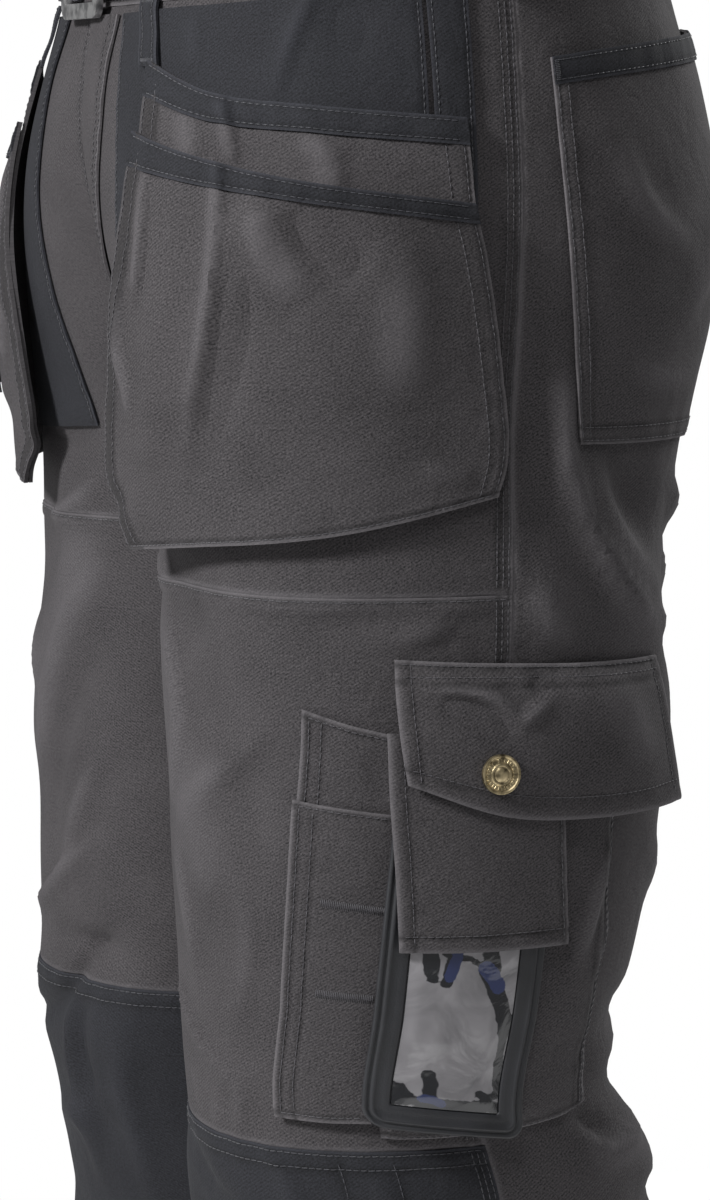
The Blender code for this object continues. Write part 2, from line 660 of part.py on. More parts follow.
def shank_button(flap):
    """A turned brass button, square to the flap."""
    s, t = BUTTON_AT
    seat = flap.points(s, t, WALL)
    ds = flap.points(s + 0.04, t, WALL) - flap.points(s - 0.04, t, WALL)
    dt = flap.points(s, t + 0.06, WALL) - flap.points(s, t - 0.06, WALL)
    x = ds / np.linalg.norm(ds)
    normal = np.cross(dt, x)
    normal /= np.linalg.norm(normal)
    y = np.cross(normal, x)
    base = seat + normal * 0.45 * MM
    points = [base, base + normal * BUTTON_PROFILE[-1][1] * MM]
    for radius, height in BUTTON_PROFILE[1:-1]:
        for i in range(BUTTON_SIDES):
            a = 2 * math.pi * i / BUTTON_SIDES
            spoke = x * math.cos(a) + y * math.sin(a)
            points.append(base + (spoke * radius + normal * height) * MM)
    faces = []
    rings = len(BUTTON_PROFILE) - 2
    for i in range(BUTTON_SIDES):
        j = (i + 1) % BUTTON_SIDES
        faces.append((0, 2 + j, 2 + i))
        last = 2 + (rings - 1) * BUTTON_SIDES
        faces.append((1, last + i, last + j))
        for k in range(rings - 1):
            a = 2 + k * BUTTON_SIDES
            faces.append((a + i, a + j, a + BUTTON_SIDES + j, a + BUTTON_SIDES + i))
    object_from("flap_button_left", points, faces, material("old_brass", OLD_BRASS, 0.4, 1.0))


# Belt, buckle and loops

BELT_CENTRE = -24.0
BELT_WIDE = 36.0
BELT_OUT = WAISTBAND_PROUD + 0.9
BELT_WALL = 2.6
BELT_FRONT_GAP = 8.0
LOOP_WIDE = 12.0
LOOP_OUT = BELT_OUT + BELT_WALL + 0.5
LOOPS = (("front", -128), ("side", -6), ("back", 128))
LOOP_ROWS = ((-3.0, 0.6), (-4.5, 2.4), (-5.2, LOOP_OUT - WAISTBAND_PROUD), (-24, LOOP_OUT - WAISTBAND_PROUD),
             (-43.0, LOOP_OUT - WAISTBAND_PROUD), (-43.7, 2.4), (-45.2, 0.6))
BUCKLE_WIDE = 58.0
BUCKLE_HIGH = 50.0
BUCKLE_BAR = 7.0
BUCKLE_THICK = 3.2


def belt():
    """One strap round the waist through the loops, with its ends under the buckle."""
    rings = {}
    for side in ("left", "right"):
        leg = LEGS[side]
        middle = BELT_CENTRE
        front = leg.edge(middle - WAIST_TILT, False) + BELT_FRONT_GAP
        back = leg.edge(middle + WAIST_TILT, True) - 6
        u = np.linspace(front, back, 27)
        grids = []
        for up in (BELT_OUT + BELT_WALL, BELT_OUT):
            rows = []
            for z in (middle + BELT_WIDE / 2, middle - BELT_WIDE / 2):
                zs = z + tilt(u, np.full_like(u, middle))
                rows.append(leg.place(u, zs, np.full_like(u, up)))
            grids.append(np.array(rows))
        rings[side] = grids
    whole = []
    for k in range(2):
        left, right = rings["left"][k], rings["right"][k][:, ::-1]
        whole.append(np.concatenate([left, right], axis=1))
    return wall("belt", whole[0], whole[1], material("belt_webbing", WEBBING, 0.8))


def front_box(name, x_range, z_range, y_face, thick, finish, hole=None):
    """A plate or frame that faces forward, its back at y_face."""
    x0, x1 = x_range
    z0, z1 = z_range
    cut = min(3.0, (z1 - z0) / 4)

    def loop(a0, a1, b0, b1, c):
        return [(a0 + c, b0), (a1 - c, b0), (a1, b0 + c), (a1, b1 - c),
                (a1 - c, b1), (a0 + c, b1), (a0, b1 - c), (a0, b0 + c)]

    outer = loop(x0, x1, z0, z1, cut)
    points, faces = [], []
    slope = WAIST_TILT * 2 / 250
    if hole is None:
        for y in (y_face, y_face - thick):
            points += [(x * MM, (y + (z - BELT_CENTRE) * slope) * MM, z * MM) for x, z in outer]
        count = len(outer)
        faces = [tuple(range(count)), tuple(range(2 * count - 1, count - 1, -1))]
        faces += [(i, count + i, count + (i + 1) % count, (i + 1) % count) for i in range(count)]
        return object_from(name, points, faces, finish, False)
    inner = loop(x0 + hole, x1 - hole, z0 + hole, z1 - hole, 1.0)
    for ring, y in ((outer, y_face), (outer, y_face - thick), (inner, y_face - thick), (inner, y_face)):
        points += [(x * MM, y * MM, z * MM) for x, z in ring]
    count = len(outer)
    for k in range(4):
        a, b = k * count, (k + 1) % 4 * count
        faces += [(a + i, a + (i + 1) % count, b + (i + 1) % count, b + i) for i in range(count)]
    return object_from(name, points, faces, finish, False)


def buckle():
    """A plain frame buckle with a prong, lying on the belt at the centre front."""
    steel = material("buckle_steel", STEEL, 0.35, 1.0)
    leg = LEGS["left"]
    middle = BELT_CENTRE - WAIST_TILT
    face = float(leg.place(np.array([leg.edge(middle, False)]), np.array([middle - 6.0]),
                           np.array([BELT_OUT + BELT_WALL]))[0, 1]) / MM - 1.6
    front_box("buckle_frame", (-BUCKLE_WIDE / 2, BUCKLE_WIDE / 2),
              (middle - BUCKLE_HIGH / 2, middle + BUCKLE_HIGH / 2), face, BUCKLE_THICK, steel, BUCKLE_BAR)
    front_box("buckle_prong", (-BUCKLE_WIDE / 2 + 2, BUCKLE_WIDE / 2 - 3), (middle - 2.2, middle + 2.2),
              face - BUCKLE_THICK - SEAM_GAP, 2.4, steel)


def belt_loops(side):
    leg = LEGS[side]
    for place_name, centre in LOOPS:
        u = np.linspace(centre - LOOP_WIDE / 2, centre + LOOP_WIDE / 2, 3)
        rows_outer, rows_inner = [], []
        for z, up in LOOP_ROWS:
            zs = z + tilt(u, np.full_like(u, BELT_CENTRE))
            rows_inner.append(leg.place(u, zs, np.full_like(u, WAISTBAND_PROUD + up)))
            rows_outer.append(leg.place(u, zs, np.full_like(u, WAISTBAND_PROUD + up + BAND_WALL)))
        wall(f"belt_loop_{place_name}_{side}", np.array(rows_outer), np.array(rows_inner), grey_cloth())


def main():
    for old in list(bpy.data.objects):
        bpy.data.objects.remove(old)
    for side in ("left", "right"):
        LEGS[side] = Leg(side)
    for side in ("left", "right"):
        leg_panels(side)
        front_pocket(side)
        front = holster(side)
        Patch(side, STRAP_ROWS, 2, 7).build("holster_strap", BAND_WALL, grey_cloth())
        back_pocket(side)
        belt_loops(side)
        if side == "right":
            hammer_loop(front)
    fly()
    thigh_pocket()
    belt()
    buckle()


main()
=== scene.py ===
import math

import bpy
import numpy as np
from mathutils import Matrix, Vector


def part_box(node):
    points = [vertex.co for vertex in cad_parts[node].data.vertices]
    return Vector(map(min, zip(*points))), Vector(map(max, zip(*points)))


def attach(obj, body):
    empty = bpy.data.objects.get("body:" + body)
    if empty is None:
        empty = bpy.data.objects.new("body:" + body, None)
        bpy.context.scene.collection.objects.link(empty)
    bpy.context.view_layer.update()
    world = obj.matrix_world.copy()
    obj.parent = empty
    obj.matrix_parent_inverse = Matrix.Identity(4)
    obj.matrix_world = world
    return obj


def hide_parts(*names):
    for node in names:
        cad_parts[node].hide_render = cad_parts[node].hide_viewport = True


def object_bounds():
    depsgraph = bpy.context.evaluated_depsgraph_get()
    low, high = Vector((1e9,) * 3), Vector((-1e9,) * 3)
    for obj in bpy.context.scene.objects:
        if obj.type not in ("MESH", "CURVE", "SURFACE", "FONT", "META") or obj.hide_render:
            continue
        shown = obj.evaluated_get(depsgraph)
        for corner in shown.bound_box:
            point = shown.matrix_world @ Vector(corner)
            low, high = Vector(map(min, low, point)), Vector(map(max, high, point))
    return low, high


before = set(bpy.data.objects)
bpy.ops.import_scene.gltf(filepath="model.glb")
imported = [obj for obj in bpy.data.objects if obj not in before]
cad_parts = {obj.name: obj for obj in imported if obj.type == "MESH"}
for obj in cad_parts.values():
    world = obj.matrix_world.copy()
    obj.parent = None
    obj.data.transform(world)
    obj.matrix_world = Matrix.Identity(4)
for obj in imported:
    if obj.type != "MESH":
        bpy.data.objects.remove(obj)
cadLow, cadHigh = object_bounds()
mm = 0.001

# Camera: it looks along the wearer's left side, a little from the front and from above
camera = {
    "azimuth": 70.0,          # degrees round from the front
    "pitch": 7.2,             # degrees down
    "distance": 1.8286,       # metres from the waist's centre line
    "height": -0.098,
    "lens": 116.4,            # mm
    "filmWide": 36.0,         # mm, the picture's long side
}


def makeCamera():
    data = bpy.data.cameras.new("photoCamera")
    data.sensor_width = camera["filmWide"]
    data.lens = camera["lens"]
    made = bpy.data.objects.new("photoCamera", data)
    turn = math.radians(camera["azimuth"])
    away = camera["distance"]
    made.location = (math.sin(turn) * away, -math.cos(turn) * away, camera["height"])
    made.rotation_euler = (math.radians(90 - camera["pitch"]), 0, turn)
    bpy.context.scene.collection.objects.link(made)
    bpy.context.scene.camera = made


makeCamera()

# The worn form, in mm: the same sections, folds and pieces as the frame's own parts
waistTop = 0.0
waistbandDeep = 46.0
yokeSeam = -304.0
kneeSeam = -546.0
shinSeam = -790.0
hem = -1065.0
waistTilt = 8.0
tiltEnds = -200.0
seamBehind = 2.0
foldFade = 0.45
planeGap = 0.03            # pieces meet at seams, so no light comes through
rightLift = ((14, 0), (-60, 0), (-300, 14), (-546, 28), (-800, 32), (-1100, 34))
rightForward = ((14, 0), (-200, 1), (-400, 5), (-560, 12), (-700, 8), (-1100, 0))

# z, centreX, centreY, halfX, halfY, power
sectionNames = ("z", "centreX", "centreY", "halfX", "halfY", "power")
sections = (
    (20, 0, 0, 162, 121, 2.2), (-10, 3, 2, 161, 124, 2.2), (-50, 12, 4, 157, 130, 2.2),
    (-90, 32, 4, 144, 137, 2.2), (-140, 56, 3, 127, 139, 2.2), (-190, 76, 0, 110, 131, 2.25),
    (-230, 88, -3, 100, 121, 2.3), (-255, 94, -4, 96.5, 116, 2.3), (-268, 96, -4.5, 96, 115, 2.3),
    (-290, 98, -5, 95, 113.5, 2.3), (-318, 99, -5, 94, 113, 2.3), (-413, 100, -8, 92, 110, 2.3),
    (-480, 101, -13, 90, 102, 2.3), (-528, 101, -17.5, 88, 95.5, 2.3), (-572, 101, -7, 88, 106, 2.3),
    (-620, 101, -2, 86, 103, 2.25), (-700, 102, 4, 82, 98, 2.2), (-800, 103, 8, 78, 92, 2.2),
    (-900, 104, 12, 75, 87, 2.2), (-1000, 105, 16, 72, 82, 2.2), (-1080, 106, 18, 71, 80, 2.2),
)

# Soft folds, as in the frame: side, u0, z0, u1, z1, wide, high
folds = (
    ("both", -205, -330, -140, -420, 24, 3.0), ("both", -165, -318, -100, -372, 22, -2.0),
    ("both", 60, -262, 150, -306, 24, -4.0), ("both", 40, -300, 130, -372, 26, 3.0),
    ("both", 110, -330, 205, -420, 28, -3.0), ("left", 78, -500, 180, -524, 22, -2.0),
    ("left", 60, -566, 170, -578, 26, 2.0), ("right", 70, -486, 190, -516, 22, -4.0),
    ("right", 60, -560, 180, -590, 26, 5.0), ("both", -205, -540, -150, -600, 24, -3.0),
    ("both", -60, -690, 60, -740, 30, 3.0), ("both", 40, -800, 170, -850, 28, -3.0),
    ("both", -150, -880, -20, -920, 28, 3.0), ("both", -120, -985, 60, -1010, 26, 4.0),
    ("both", -60, -1028, 140, -1042, 22, -3.0),
)

# Listed creases: points (u, z), width, height, and how much steeper the right-hand side is
creases = {
    "left": (
        (((30, -250), (38, -274), (48, -290), (60, -304), (80, -322)), 9, 3.0, 0.35),
        (((24, -262), (31, -280), (42, -298), (54, -314)), 9, -1.6, 0.8),
        (((38, -243), (44, -256), (52, -270), (66, -290), (84, -304)), 10, 2.6, 0.6),
        (((58, -250), (70, -270), (88, -290)), 14, -2.6, 1.0),
        (((22, -206), (24, -222), (26, -246), (33, -272)), 8, 2.2, 0.7),
        (((8, -225), (10, -250), (16, -280)), 9, -1.8, 1.0),
        (((10, -300), (18, -314), (28, -330)), 8, 2.0, 0.7),
        (((-104, -358), (-118, -372), (-136, -386), (-158, -404)), 9, 1.7, 0.6),
        (((-180, -484), (-172, -490), (-156, -502), (-124, -516), (-102, -527)), 4.5, 1.5, 0.4),
        (((-126, -528), (-130, -546)), 5, 1.2, 0.8),
        (((-111, -522), (-114, -546)), 5, 1.2, 0.8),
        (((-186, -322), (-182, -336), (-168, -356), (-165, -376), (-176, -400)), 7, 2.0, 0.5),
        (((-150, -306), (-156, -322), (-170, -332)), 8, -1.2, 1.0),
        (((52, -546), (62, -557), (84, -556), (104, -550)), 7, 2.6, 0.5),
        (((50, -538), (60, -546), (70, -552)), 5, -1.8, 1.0),
        (((-42, -248), (-30, -252), (-18, -256)), 6, 1.0, 0.8),
        (((-60, -306), (-90, -309), (-130, -308)), 7, 0.8, 0.8),
        (((-176, -560), (-150, -572), (-118, -580)), 9, -1.8, 0.8),
        (((-150, -352), (-128, -372), (-112, -398), (-104, -430)), 8, -1.2, 0.8),
        (((-176, -420), (-160, -446), (-150, -478)), 9, 1.4, 0.6),
        (((-118, -430), (-112, -462), (-116, -500)), 7, 1.0, 0.7),
        (((-24, -312), (-40, -320), (-62, -324)), 6, 1.0, 0.6),
        (((84, -318), (96, -322), (118, -320)), 7, 1.4, 0.6),
        (((-96, -548), (-92, -572), (-98, -600)), 6, 1.5, 0.6),
        (((-52, -550), (-50, -580), (-56, -612)), 6, 1.2, 0.6),
        (((-182, -590), (-160, -606), (-130, -612)), 10, 1.8, 0.7),
    ),
    "right": (
        (((28, -256), (40, -276), (56, -298), (78, -318)), 10, 2.6, 0.4),
        (((50, -246), (66, -270), (92, -296)), 12, -2.2, 1.0),
        (((22, -212), (25, -240), (30, -268)), 9, 1.8, 0.8),
        (((-110, -352), (-132, -374), (-160, -396)), 10, 1.6, 0.6),
        (((-210, -470), (-184, -486), (-150, -506), (-112, -520)), 6, 1.8, 0.4),
        (((-222, -530), (-190, -524), (-160, -528)), 6, -1.8, 0.8),
        (((-214, -516), (-196, -530), (-172, -560), (-140, -572), (-112, -574)), 7, -2.4, 0.8),
        (((-90, -420), (-76, -450), (-60, -478)), 9, 1.6, 0.6),
        (((-30, -380), (-12, -410), (4, -446)), 11, 1.6, 0.6),
        (((-206, -600), (-180, -616), (-140, -624)), 10, 2.2, 0.6),
        (((-222, -330), (-196, -362), (-168, -410), (-150, -450)), 9, 1.6, 0.5),
        (((-228, -360), (-204, -396), (-180, -440), (-168, -480)), 8, -1.4, 0.8),
        (((-224, -420), (-200, -452), (-178, -492)), 8, 1.5, 0.5),
        (((-198, -552), (-192, -584), (-196, -630)), 8, -2.2, 0.6),
        (((-186, -556), (-178, -600), (-182, -650)), 7, 1.8, 0.5),
        (((-226, -566), (-216, -604), (-214, -660)), 9, 1.4, 0.6),
    ),
    "both": (
        # seat and back of the thigh
        (((112, -262), (142, -276), (186, -284)), 9, 2.4, 0.5),
        (((120, -292), (152, -312), (198, -322)), 8, 2.0, 0.4),
        (((96, -318), (128, -340), (172, -352)), 11, -1.8, 1.0),
        (((128, -372), (150, -398), (190, -416)), 9, 1.8, 0.5),
        (((98, -420), (126, -444), (168, -458)), 10, 1.5, 0.6),
        # behind the knee
        (((66, -488), (100, -498), (142, -496), (182, -504)), 8, -1.0, 0.8),
        (((58, -512), (92, -516), (138, -510), (186, -520)), 8, 1.8, 0.6),
        (((74, -534), (112, -534), (156, -530), (192, -538)), 7, -0.8, 0.8),
        (((64, -576), (104, -586), (150, -592)), 8, -2.2, 0.8),
        (((80, -604), (124, -618), (172, -622)), 9, 2.0, 0.5),
        # inner thigh and crotch
        (((-226, -282), (-200, -300), (-172, -310)), 8, 1.8, 0.5),
        (((-226, -262), (-196, -270), (-168, -262)), 9, -1.6, 0.9),
        (((206, -300), (186, -330), (178, -372)), 9, 1.8, 0.6),
        # calf and hem
        (((-150, -660), (-112, -690), (-60, -706)), 12, 1.6, 0.6),
        (((60, -672), (104, -698), (160, -706)), 11, -1.8, 0.9),
        (((20, -742), (62, -772), (118, -782)), 12, 1.8, 0.6),
        (((-168, -756), (-128, -776), (-84, -782)), 10, -1.6, 0.9),
        (((-30, -828), (-68, -850), (-120, -862)), 11, 1.6, 0.6),
        (((30, -866), (84, -896), (140, -902)), 10, 2.0, 0.5),
        (((-150, -930), (-104, -948), (-44, -952)), 9, 2.2, 0.5),
        (((-20, -934), (44, -958), (110, -960)), 9, -2.2, 0.8),
        (((-160, -972), (-118, -988), (-66, -996)), 8, -2.2, 0.8),
        (((10, -992), (66, -1008), (134, -1006)), 8, 2.6, 0.5),
        (((-144, -1020), (-92, -1030), (-40, -1024)), 8, 2.2, 0.5),
        (((40, -1030), (92, -1040), (150, -1032)), 7, -2.0, 0.8),
    ),
}


def sectionColumn(name):
    return np.array([row[sectionNames.index(name)] for row in sections[::-1]], float)


def sectionValue(name, z):
    heights, values = sectionColumn("z"), sectionColumn(name)
    z = np.clip(z, heights[0], heights[-1])
    slopes = np.gradient(values, heights)
    i = np.clip(np.searchsorted(heights, z) - 1, 0, len(heights) - 2)
    step = heights[i + 1] - heights[i]
    t = (z - heights[i]) / step
    near = (1 + 2 * t) * (1 - t) ** 2 * values[i] + t * (1 - t) ** 2 * step * slopes[i]
    return near + t * t * (3 - 2 * t) * values[i + 1] + t * t * (t - 1) * step * slopes[i + 1]


def tableValue(table, z):
    rows = sorted(table)
    return np.interp(z, [r[0] for r in rows], [r[1] for r in rows])


def superellipse(angle, z):
    power = 2 / sectionValue("power", z)
    c, s = np.cos(angle), np.sin(angle)
    x = sectionValue("centreX", z) + sectionValue("halfX", z) * np.sign(c) * np.abs(c) ** power
    y = sectionValue("centreY", z) + sectionValue("halfY", z) * np.sign(s) * np.abs(s) ** power
    return x, y


def through(points, at):
    # a smooth curve through rows of control points, at places counted in rows
    p = np.asarray(points, float)
    at = np.asarray(at, float)
    last = len(p) - 1
    i = np.clip(at.astype(int), 0, last - 1)
    t = (at - i).reshape([-1] + [1] * (p.ndim - 1))
    before, after = np.maximum(i - 1, 0), np.minimum(i + 2, last)
    m0 = (p[i + 1] - p[before]) / np.where(i > 0, 2, 1).reshape(t.shape)
    m1 = (p[after] - p[i]) / np.where(i + 2 <= last, 2, 1).reshape(t.shape)
    return ((1 + 2 * t) * (1 - t) ** 2 * p[i] + t * (1 - t) ** 2 * m0
            + t * t * (3 - 2 * t) * p[i + 1] + t * t * (t - 1) * m1)


creaseDepth = 2.2          # the creases stand this many times their listed heights


def creaseLift(u, z, crease):
    # a ridge or trough along a smooth line, which dies out at its ends
    points, wide, high, steep = crease
    line = through(points, np.linspace(0, len(points) - 1, 6 * (len(points) - 1) + 1))
    reach = 3 * wide
    low, top = line.min(0) - reach, line.max(0) + reach
    near = (u > low[0]) & (u < top[0]) & (z > low[1]) & (z < top[1])
    lift = np.zeros_like(u)
    if not near.any():
        return lift
    pu, pz = u[near], z[near]
    away = np.full(pu.shape, 1e9)
    side = np.zeros(pu.shape)
    along = np.zeros(pu.shape)
    count = len(line) - 1
    for k in range(count):
        du, dz = line[k + 1] - line[k]
        size = du * du + dz * dz
        t = np.clip(((pu - line[k, 0]) * du + (pz - line[k, 1]) * dz) / size, 0, 1)
        gap = np.hypot(pu - line[k, 0] - t * du, pz - line[k, 1] - t * dz)
        turn = du * (pz - line[k, 1]) - dz * (pu - line[k, 0])
        closer = gap < away
        away, side = np.where(closer, gap, away), np.where(closer, turn, side)
        along = np.where(closer, (k + t) / count, along)
    width = np.where(side > 0, wide * steep, wide)
    fade = np.sin(np.pi * np.clip(along, 0.04, 0.96)) ** 0.7
    lift[near] = creaseDepth * high * fade * np.exp(-(away / width) ** 2)
    return lift


rumple = np.random.default_rng(28).uniform(-1, 1, (9, 4))     # slight unevenness of worn cloth


def unevenness(u, z):
    lift = np.zeros_like(u)
    for a, b, c, d in rumple:
        lift += 0.13 * np.sin(u * a / 9 + z * b / 16 + c * 6 + 1.6 * np.sin(z * d / 30))
    return lift


class Leg:
    # one leg's form: u is mm round from the side seam, negative to the front, and z is mm up from the waist
    reach = 400.0             # the lattice that turns u into an angle goes this far each way
    roundStep = 4.0
    heightStep = 5.0

    def __init__(self, side):
        self.side = side
        self.sign = 1.0 if side == "left" else -1.0
        self.us = np.arange(-self.reach, self.reach + 1, self.roundStep)
        self.zs = np.arange(hem - 15, 20.1, self.heightStep)
        self.sweep = np.radians(np.linspace(-215, 215, 861)) + math.radians(seamBehind)
        rows, self.around = [], []
        for z in self.zs:
            x, y = superellipse(self.sweep, np.full_like(self.sweep, z))
            along = np.concatenate([[0], np.cumsum(np.hypot(np.diff(x), np.diff(y)))])
            along -= along[len(along) // 2]
            self.around.append(along)
            rows.append(np.interp(self.us, along, self.sweep))
        self.angles = np.array(rows)
        self.folds = [f for f in folds if f[0] in ("both", side)]
        self.creases = creases[side] + creases["both"]

    def angle(self, u, z):
        i = np.clip((u - self.us[0]) / self.roundStep, 0, len(self.us) - 1.001)
        k = np.clip((z - self.zs[0]) / self.heightStep, 0, len(self.zs) - 1.001)
        i0, k0 = i.astype(int), k.astype(int)
        i, k = i - i0, k - k0
        low = self.angles[k0, i0] * (1 - i) + self.angles[k0, i0 + 1] * i
        high = self.angles[k0 + 1, i0] * (1 - i) + self.angles[k0 + 1, i0 + 1] * i
        return low * (1 - k) + high * k

    def edge(self, z, behind):
        # distance round to the centre line, or to the inseam below the crotch
        centre, half = sectionValue("centreX", z), sectionValue("halfX", z)
        share = np.clip((centre - planeGap) / half, -1, 1)
        turn = math.pi if share >= 1 else math.acos(-math.copysign(
            abs(share) ** (sectionValue("power", z) / 2), share))
        turn = turn if behind else -turn
        k = float(np.clip((z - self.zs[0]) / self.heightStep, 0, len(self.zs) - 1.001))
        low, high = (np.interp(turn, self.sweep, self.around[int(k) + n]) for n in (0, 1))
        return float(low + (high - low) * (k - int(k)))

    def fold(self, u, z):
        move = np.zeros_like(u)
        for _, u0, z0, u1, z1, wide, high in self.folds:
            du, dz = u1 - u0, z1 - z0
            t = np.clip(((u - u0) * du + (z - z0) * dz) / (du * du + dz * dz), 0, 1)
            away = np.hypot(u - u0 - t * du, z - z0 - t * dz)
            move += high * np.exp(-((away / wide) ** 2))
        for crease in self.creases:
            move += creaseLift(u, z, crease)
        move += unevenness(u, z)
        return move * np.clip((math.pi - np.abs(self.angle(u, z))) / foldFade, 0, 1)

    def plain(self, u, z):
        x, y = superellipse(self.angle(u, z), z)
        return np.stack([x, y, z], -1)

    def place(self, u, z, *outs):
        # points in metres for each distance off the form
        u, z = np.broadcast_arrays(np.asarray(u, float), np.asarray(z, float))
        h = 3.0
        across = self.plain(u + h, z) - self.plain(u - h, z)
        up = self.plain(u, z + h) - self.plain(u, z - h)
        normal = np.cross(across, up)
        normal /= np.linalg.norm(normal, axis=-1, keepdims=True)
        base, lift = self.plain(u, z), self.fold(u, z)
        placed = []
        for out in outs:
            p = base + normal * (lift + out)[..., None]
            p[..., 0] = np.maximum(p[..., 0], planeGap) * self.sign
            if self.side == "right":
                p[..., 1] -= tableValue(rightForward, z)
                p[..., 2] += tableValue(rightLift, z)
            placed.append(p * mm)
        return placed if len(placed) > 1 else placed[0]


legs = {side: Leg(side) for side in ("left", "right")}


def tilt(u, z):
    fade = np.clip((z - tiltEnds) / -tiltEnds, 0, 1)
    return np.sign(u) * waistTilt * np.sin(np.clip(np.abs(u) / 240, 0, 1) * math.pi / 2) ** 2 * fade


def spread(length, step, near=(0.7, 1.6, 2.8, 4.2, 6.0, 8.0)):
    # places along a length, closer together beside its two ends
    inner = [n for n in near if n < length / 2 - 0.4]
    start = inner[-1] if inner else 0.0
    count = max(1, round((length - 2 * start) / step))
    middle = list(np.linspace(start, length - start, count + 1))
    return np.array([0.0] + inner[:-1] + middle + [length - n for n in inner[:-1][::-1]] + [length]) \
        if inner else np.array(middle)


print("worn form ready")

# Materials


def linear(hexColour):
    channels = [int(hexColour[i:i + 2], 16) / 255 for i in (0, 2, 4)]
    return [c / 12.92 if c <= 0.04045 else ((c + 0.055) / 1.055) ** 2.4 for c in channels] + [1.0]


def addNode(tree, kind, settings=None, links=None):
    node = tree.nodes.new(kind)
    for key, value in (settings or {}).items():
        if isinstance(key, int) or key in node.inputs:
            node.inputs[key].default_value = value
        else:
            setattr(node, key, value)
    for key, source in (links or {}).items():
        tree.links.new(source, node.inputs[key])
    return node


def mixColours(tree, dark, light, factor):
    settings = {"data_type": "RGBA", 6: linear(dark), 7: linear(light)}
    return addNode(tree, "ShaderNodeMix", settings, {0: factor})


def noise(tree, coords, settings):
    return addNode(tree, "ShaderNodeTexNoise", settings, {"Vector": coords}).outputs["Fac"]


def mapRange(tree, value, settings):
    return addNode(tree, "ShaderNodeMapRange", settings, {"Value": value}).outputs[0]


def bumpShader(tree, shader, strength, distance, height):
    bump = addNode(tree, "ShaderNodeBump", {"Strength": strength, "Distance": distance}, {"Height": height})
    tree.links.new(bump.outputs[0], shader.inputs["Normal"])


def newMaterial(name):
    made = bpy.data.materials.new(name)
    made.use_nodes = True
    return made, made.node_tree, made.node_tree.nodes["Principled BSDF"]


def setShader(shader, settings):
    for key, value in settings.items():
        shader.inputs[key].default_value = value


waveWidth = 0.31416       # metres between the bands of a wave texture at scale 1


def twillCloth(name, look):
    # cotton twill, woven: slanting ribs, speckled yarn, soft broken wrinkles, paler rubbed edges, a painted
    # highlight on raised ridges and painted shade along the sewing
    made, tree, shader = newMaterial(name)
    coords = addNode(tree, "ShaderNodeTexCoord").outputs["UV"]
    turned = addNode(tree, "ShaderNodeMapping", {"Rotation": (0, 0, math.radians(look["slant"]))},
                     {"Vector": coords}).outputs[0]
    ribs = addNode(tree, "ShaderNodeTexWave", {"Scale": waveWidth / (look["ribMm"] * mm), "Distortion": 1.2,
                   "Detail": 1.0, "Detail Scale": 3.0}, {"Vector": turned}).outputs["Fac"]
    yarn = noise(tree, coords, {"Scale": 1 / (look["yarnMm"] * mm), "Detail": 3.0, "Roughness": 0.85})
    cloudy = noise(tree, coords, {"Scale": 26.0, "Detail": 3.0, "Roughness": 0.55})
    grain = addNode(tree, "ShaderNodeMath", {"operation": "MULTIPLY_ADD", 1: 0.09}, {0: ribs, 2: yarn})
    tone = addNode(tree, "ShaderNodeMath", {"operation": "MULTIPLY_ADD", 1: 0.14},
                   {0: cloudy, 2: grain.outputs[0]})
    ramp = mapRange(tree, tone.outputs[0], {"From Min": 0.44, "From Max": 0.78})
    colour = mixColours(tree, look["dark"], look["light"], ramp)
    # paler where edges are rubbed, and where folds stand up in ridges as a painted highlight
    wear = addNode(tree, "ShaderNodeAttribute", {"attribute_name": "wear"}).outputs["Fac"]
    worn = addNode(tree, "ShaderNodeMath", {"operation": "MULTIPLY", 1: look["wear"]}, {0: wear})
    final = addNode(tree, "ShaderNodeMix", {"data_type": "RGBA", 7: linear(look["worn"])},
                    {0: worn.outputs[0], 6: colour.outputs[2]})
    # the darker strip, and painted shade along the sewing rows and seam grooves, scale the colour down
    stripAndPaintedShade = addNode(tree, "ShaderNodeAttribute", {"attribute_name": "stripAndPaintedShade"}).outputs["Fac"]
    keep = mapRange(tree, stripAndPaintedShade, {"To Min": 1.0, "To Max": look["sewn"]})
    paintedShading = addNode(tree, "ShaderNodeVectorMath", {"operation": "SCALE"},
                   {"Vector": final.outputs[2], "Scale": keep})
    tree.links.new(paintedShading.outputs[0], shader.inputs["Base Color"])
    wrinkles = noise(tree, coords, {"Scale": 60.0, "Detail": 4.0, "Roughness": 0.55, "Distortion": 0.5})
    soft = addNode(tree, "ShaderNodeBump", {"Strength": 0.55, "Distance": 0.0022}, {"Height": wrinkles})
    weave = addNode(tree, "ShaderNodeBump", {"Strength": look["relief"], "Distance": 0.0003},
                    {"Height": grain.outputs[0], "Normal": soft.outputs[0]})
    tree.links.new(weave.outputs[0], shader.inputs["Normal"])
    setShader(shader, {"Roughness": look["roughness"], "Specular IOR Level": 0.28,
                       "Sheen Weight": look["sheen"], "Sheen Roughness": 0.45,
                       "Sheen Tint": linear(look["light"])})
    return made


# Each look gives the paler colour of rubbed edges and painted ridge highlights, and the share of colour kept
# under the darker strip and painted shade
# The ribs of real twill are about 0.7 mm apart; they are drawn at twice that so that they show
greyLook = {"dark": "141315", "light": "4a4749", "worn": "6b686b", "wear": 0.55, "ribMm": 1.3, "yarnMm": 1.0,
            "slant": 58, "relief": 0.6, "roughness": 0.86, "sheen": 0.15, "sewn": 0.42}
blackLook = {"dark": "0a0a0d", "light": "292a2f", "worn": "3f4047", "wear": 0.35, "ribMm": 1.3, "yarnMm": 1.0,
             "slant": 58, "relief": 0.6, "roughness": 0.88, "sheen": 0.06, "sewn": 0.5}
greyTwill = twillCloth("washedGreyCottonTwill", greyLook)
blackTwill = twillCloth("blackCottonTwill", blackLook)


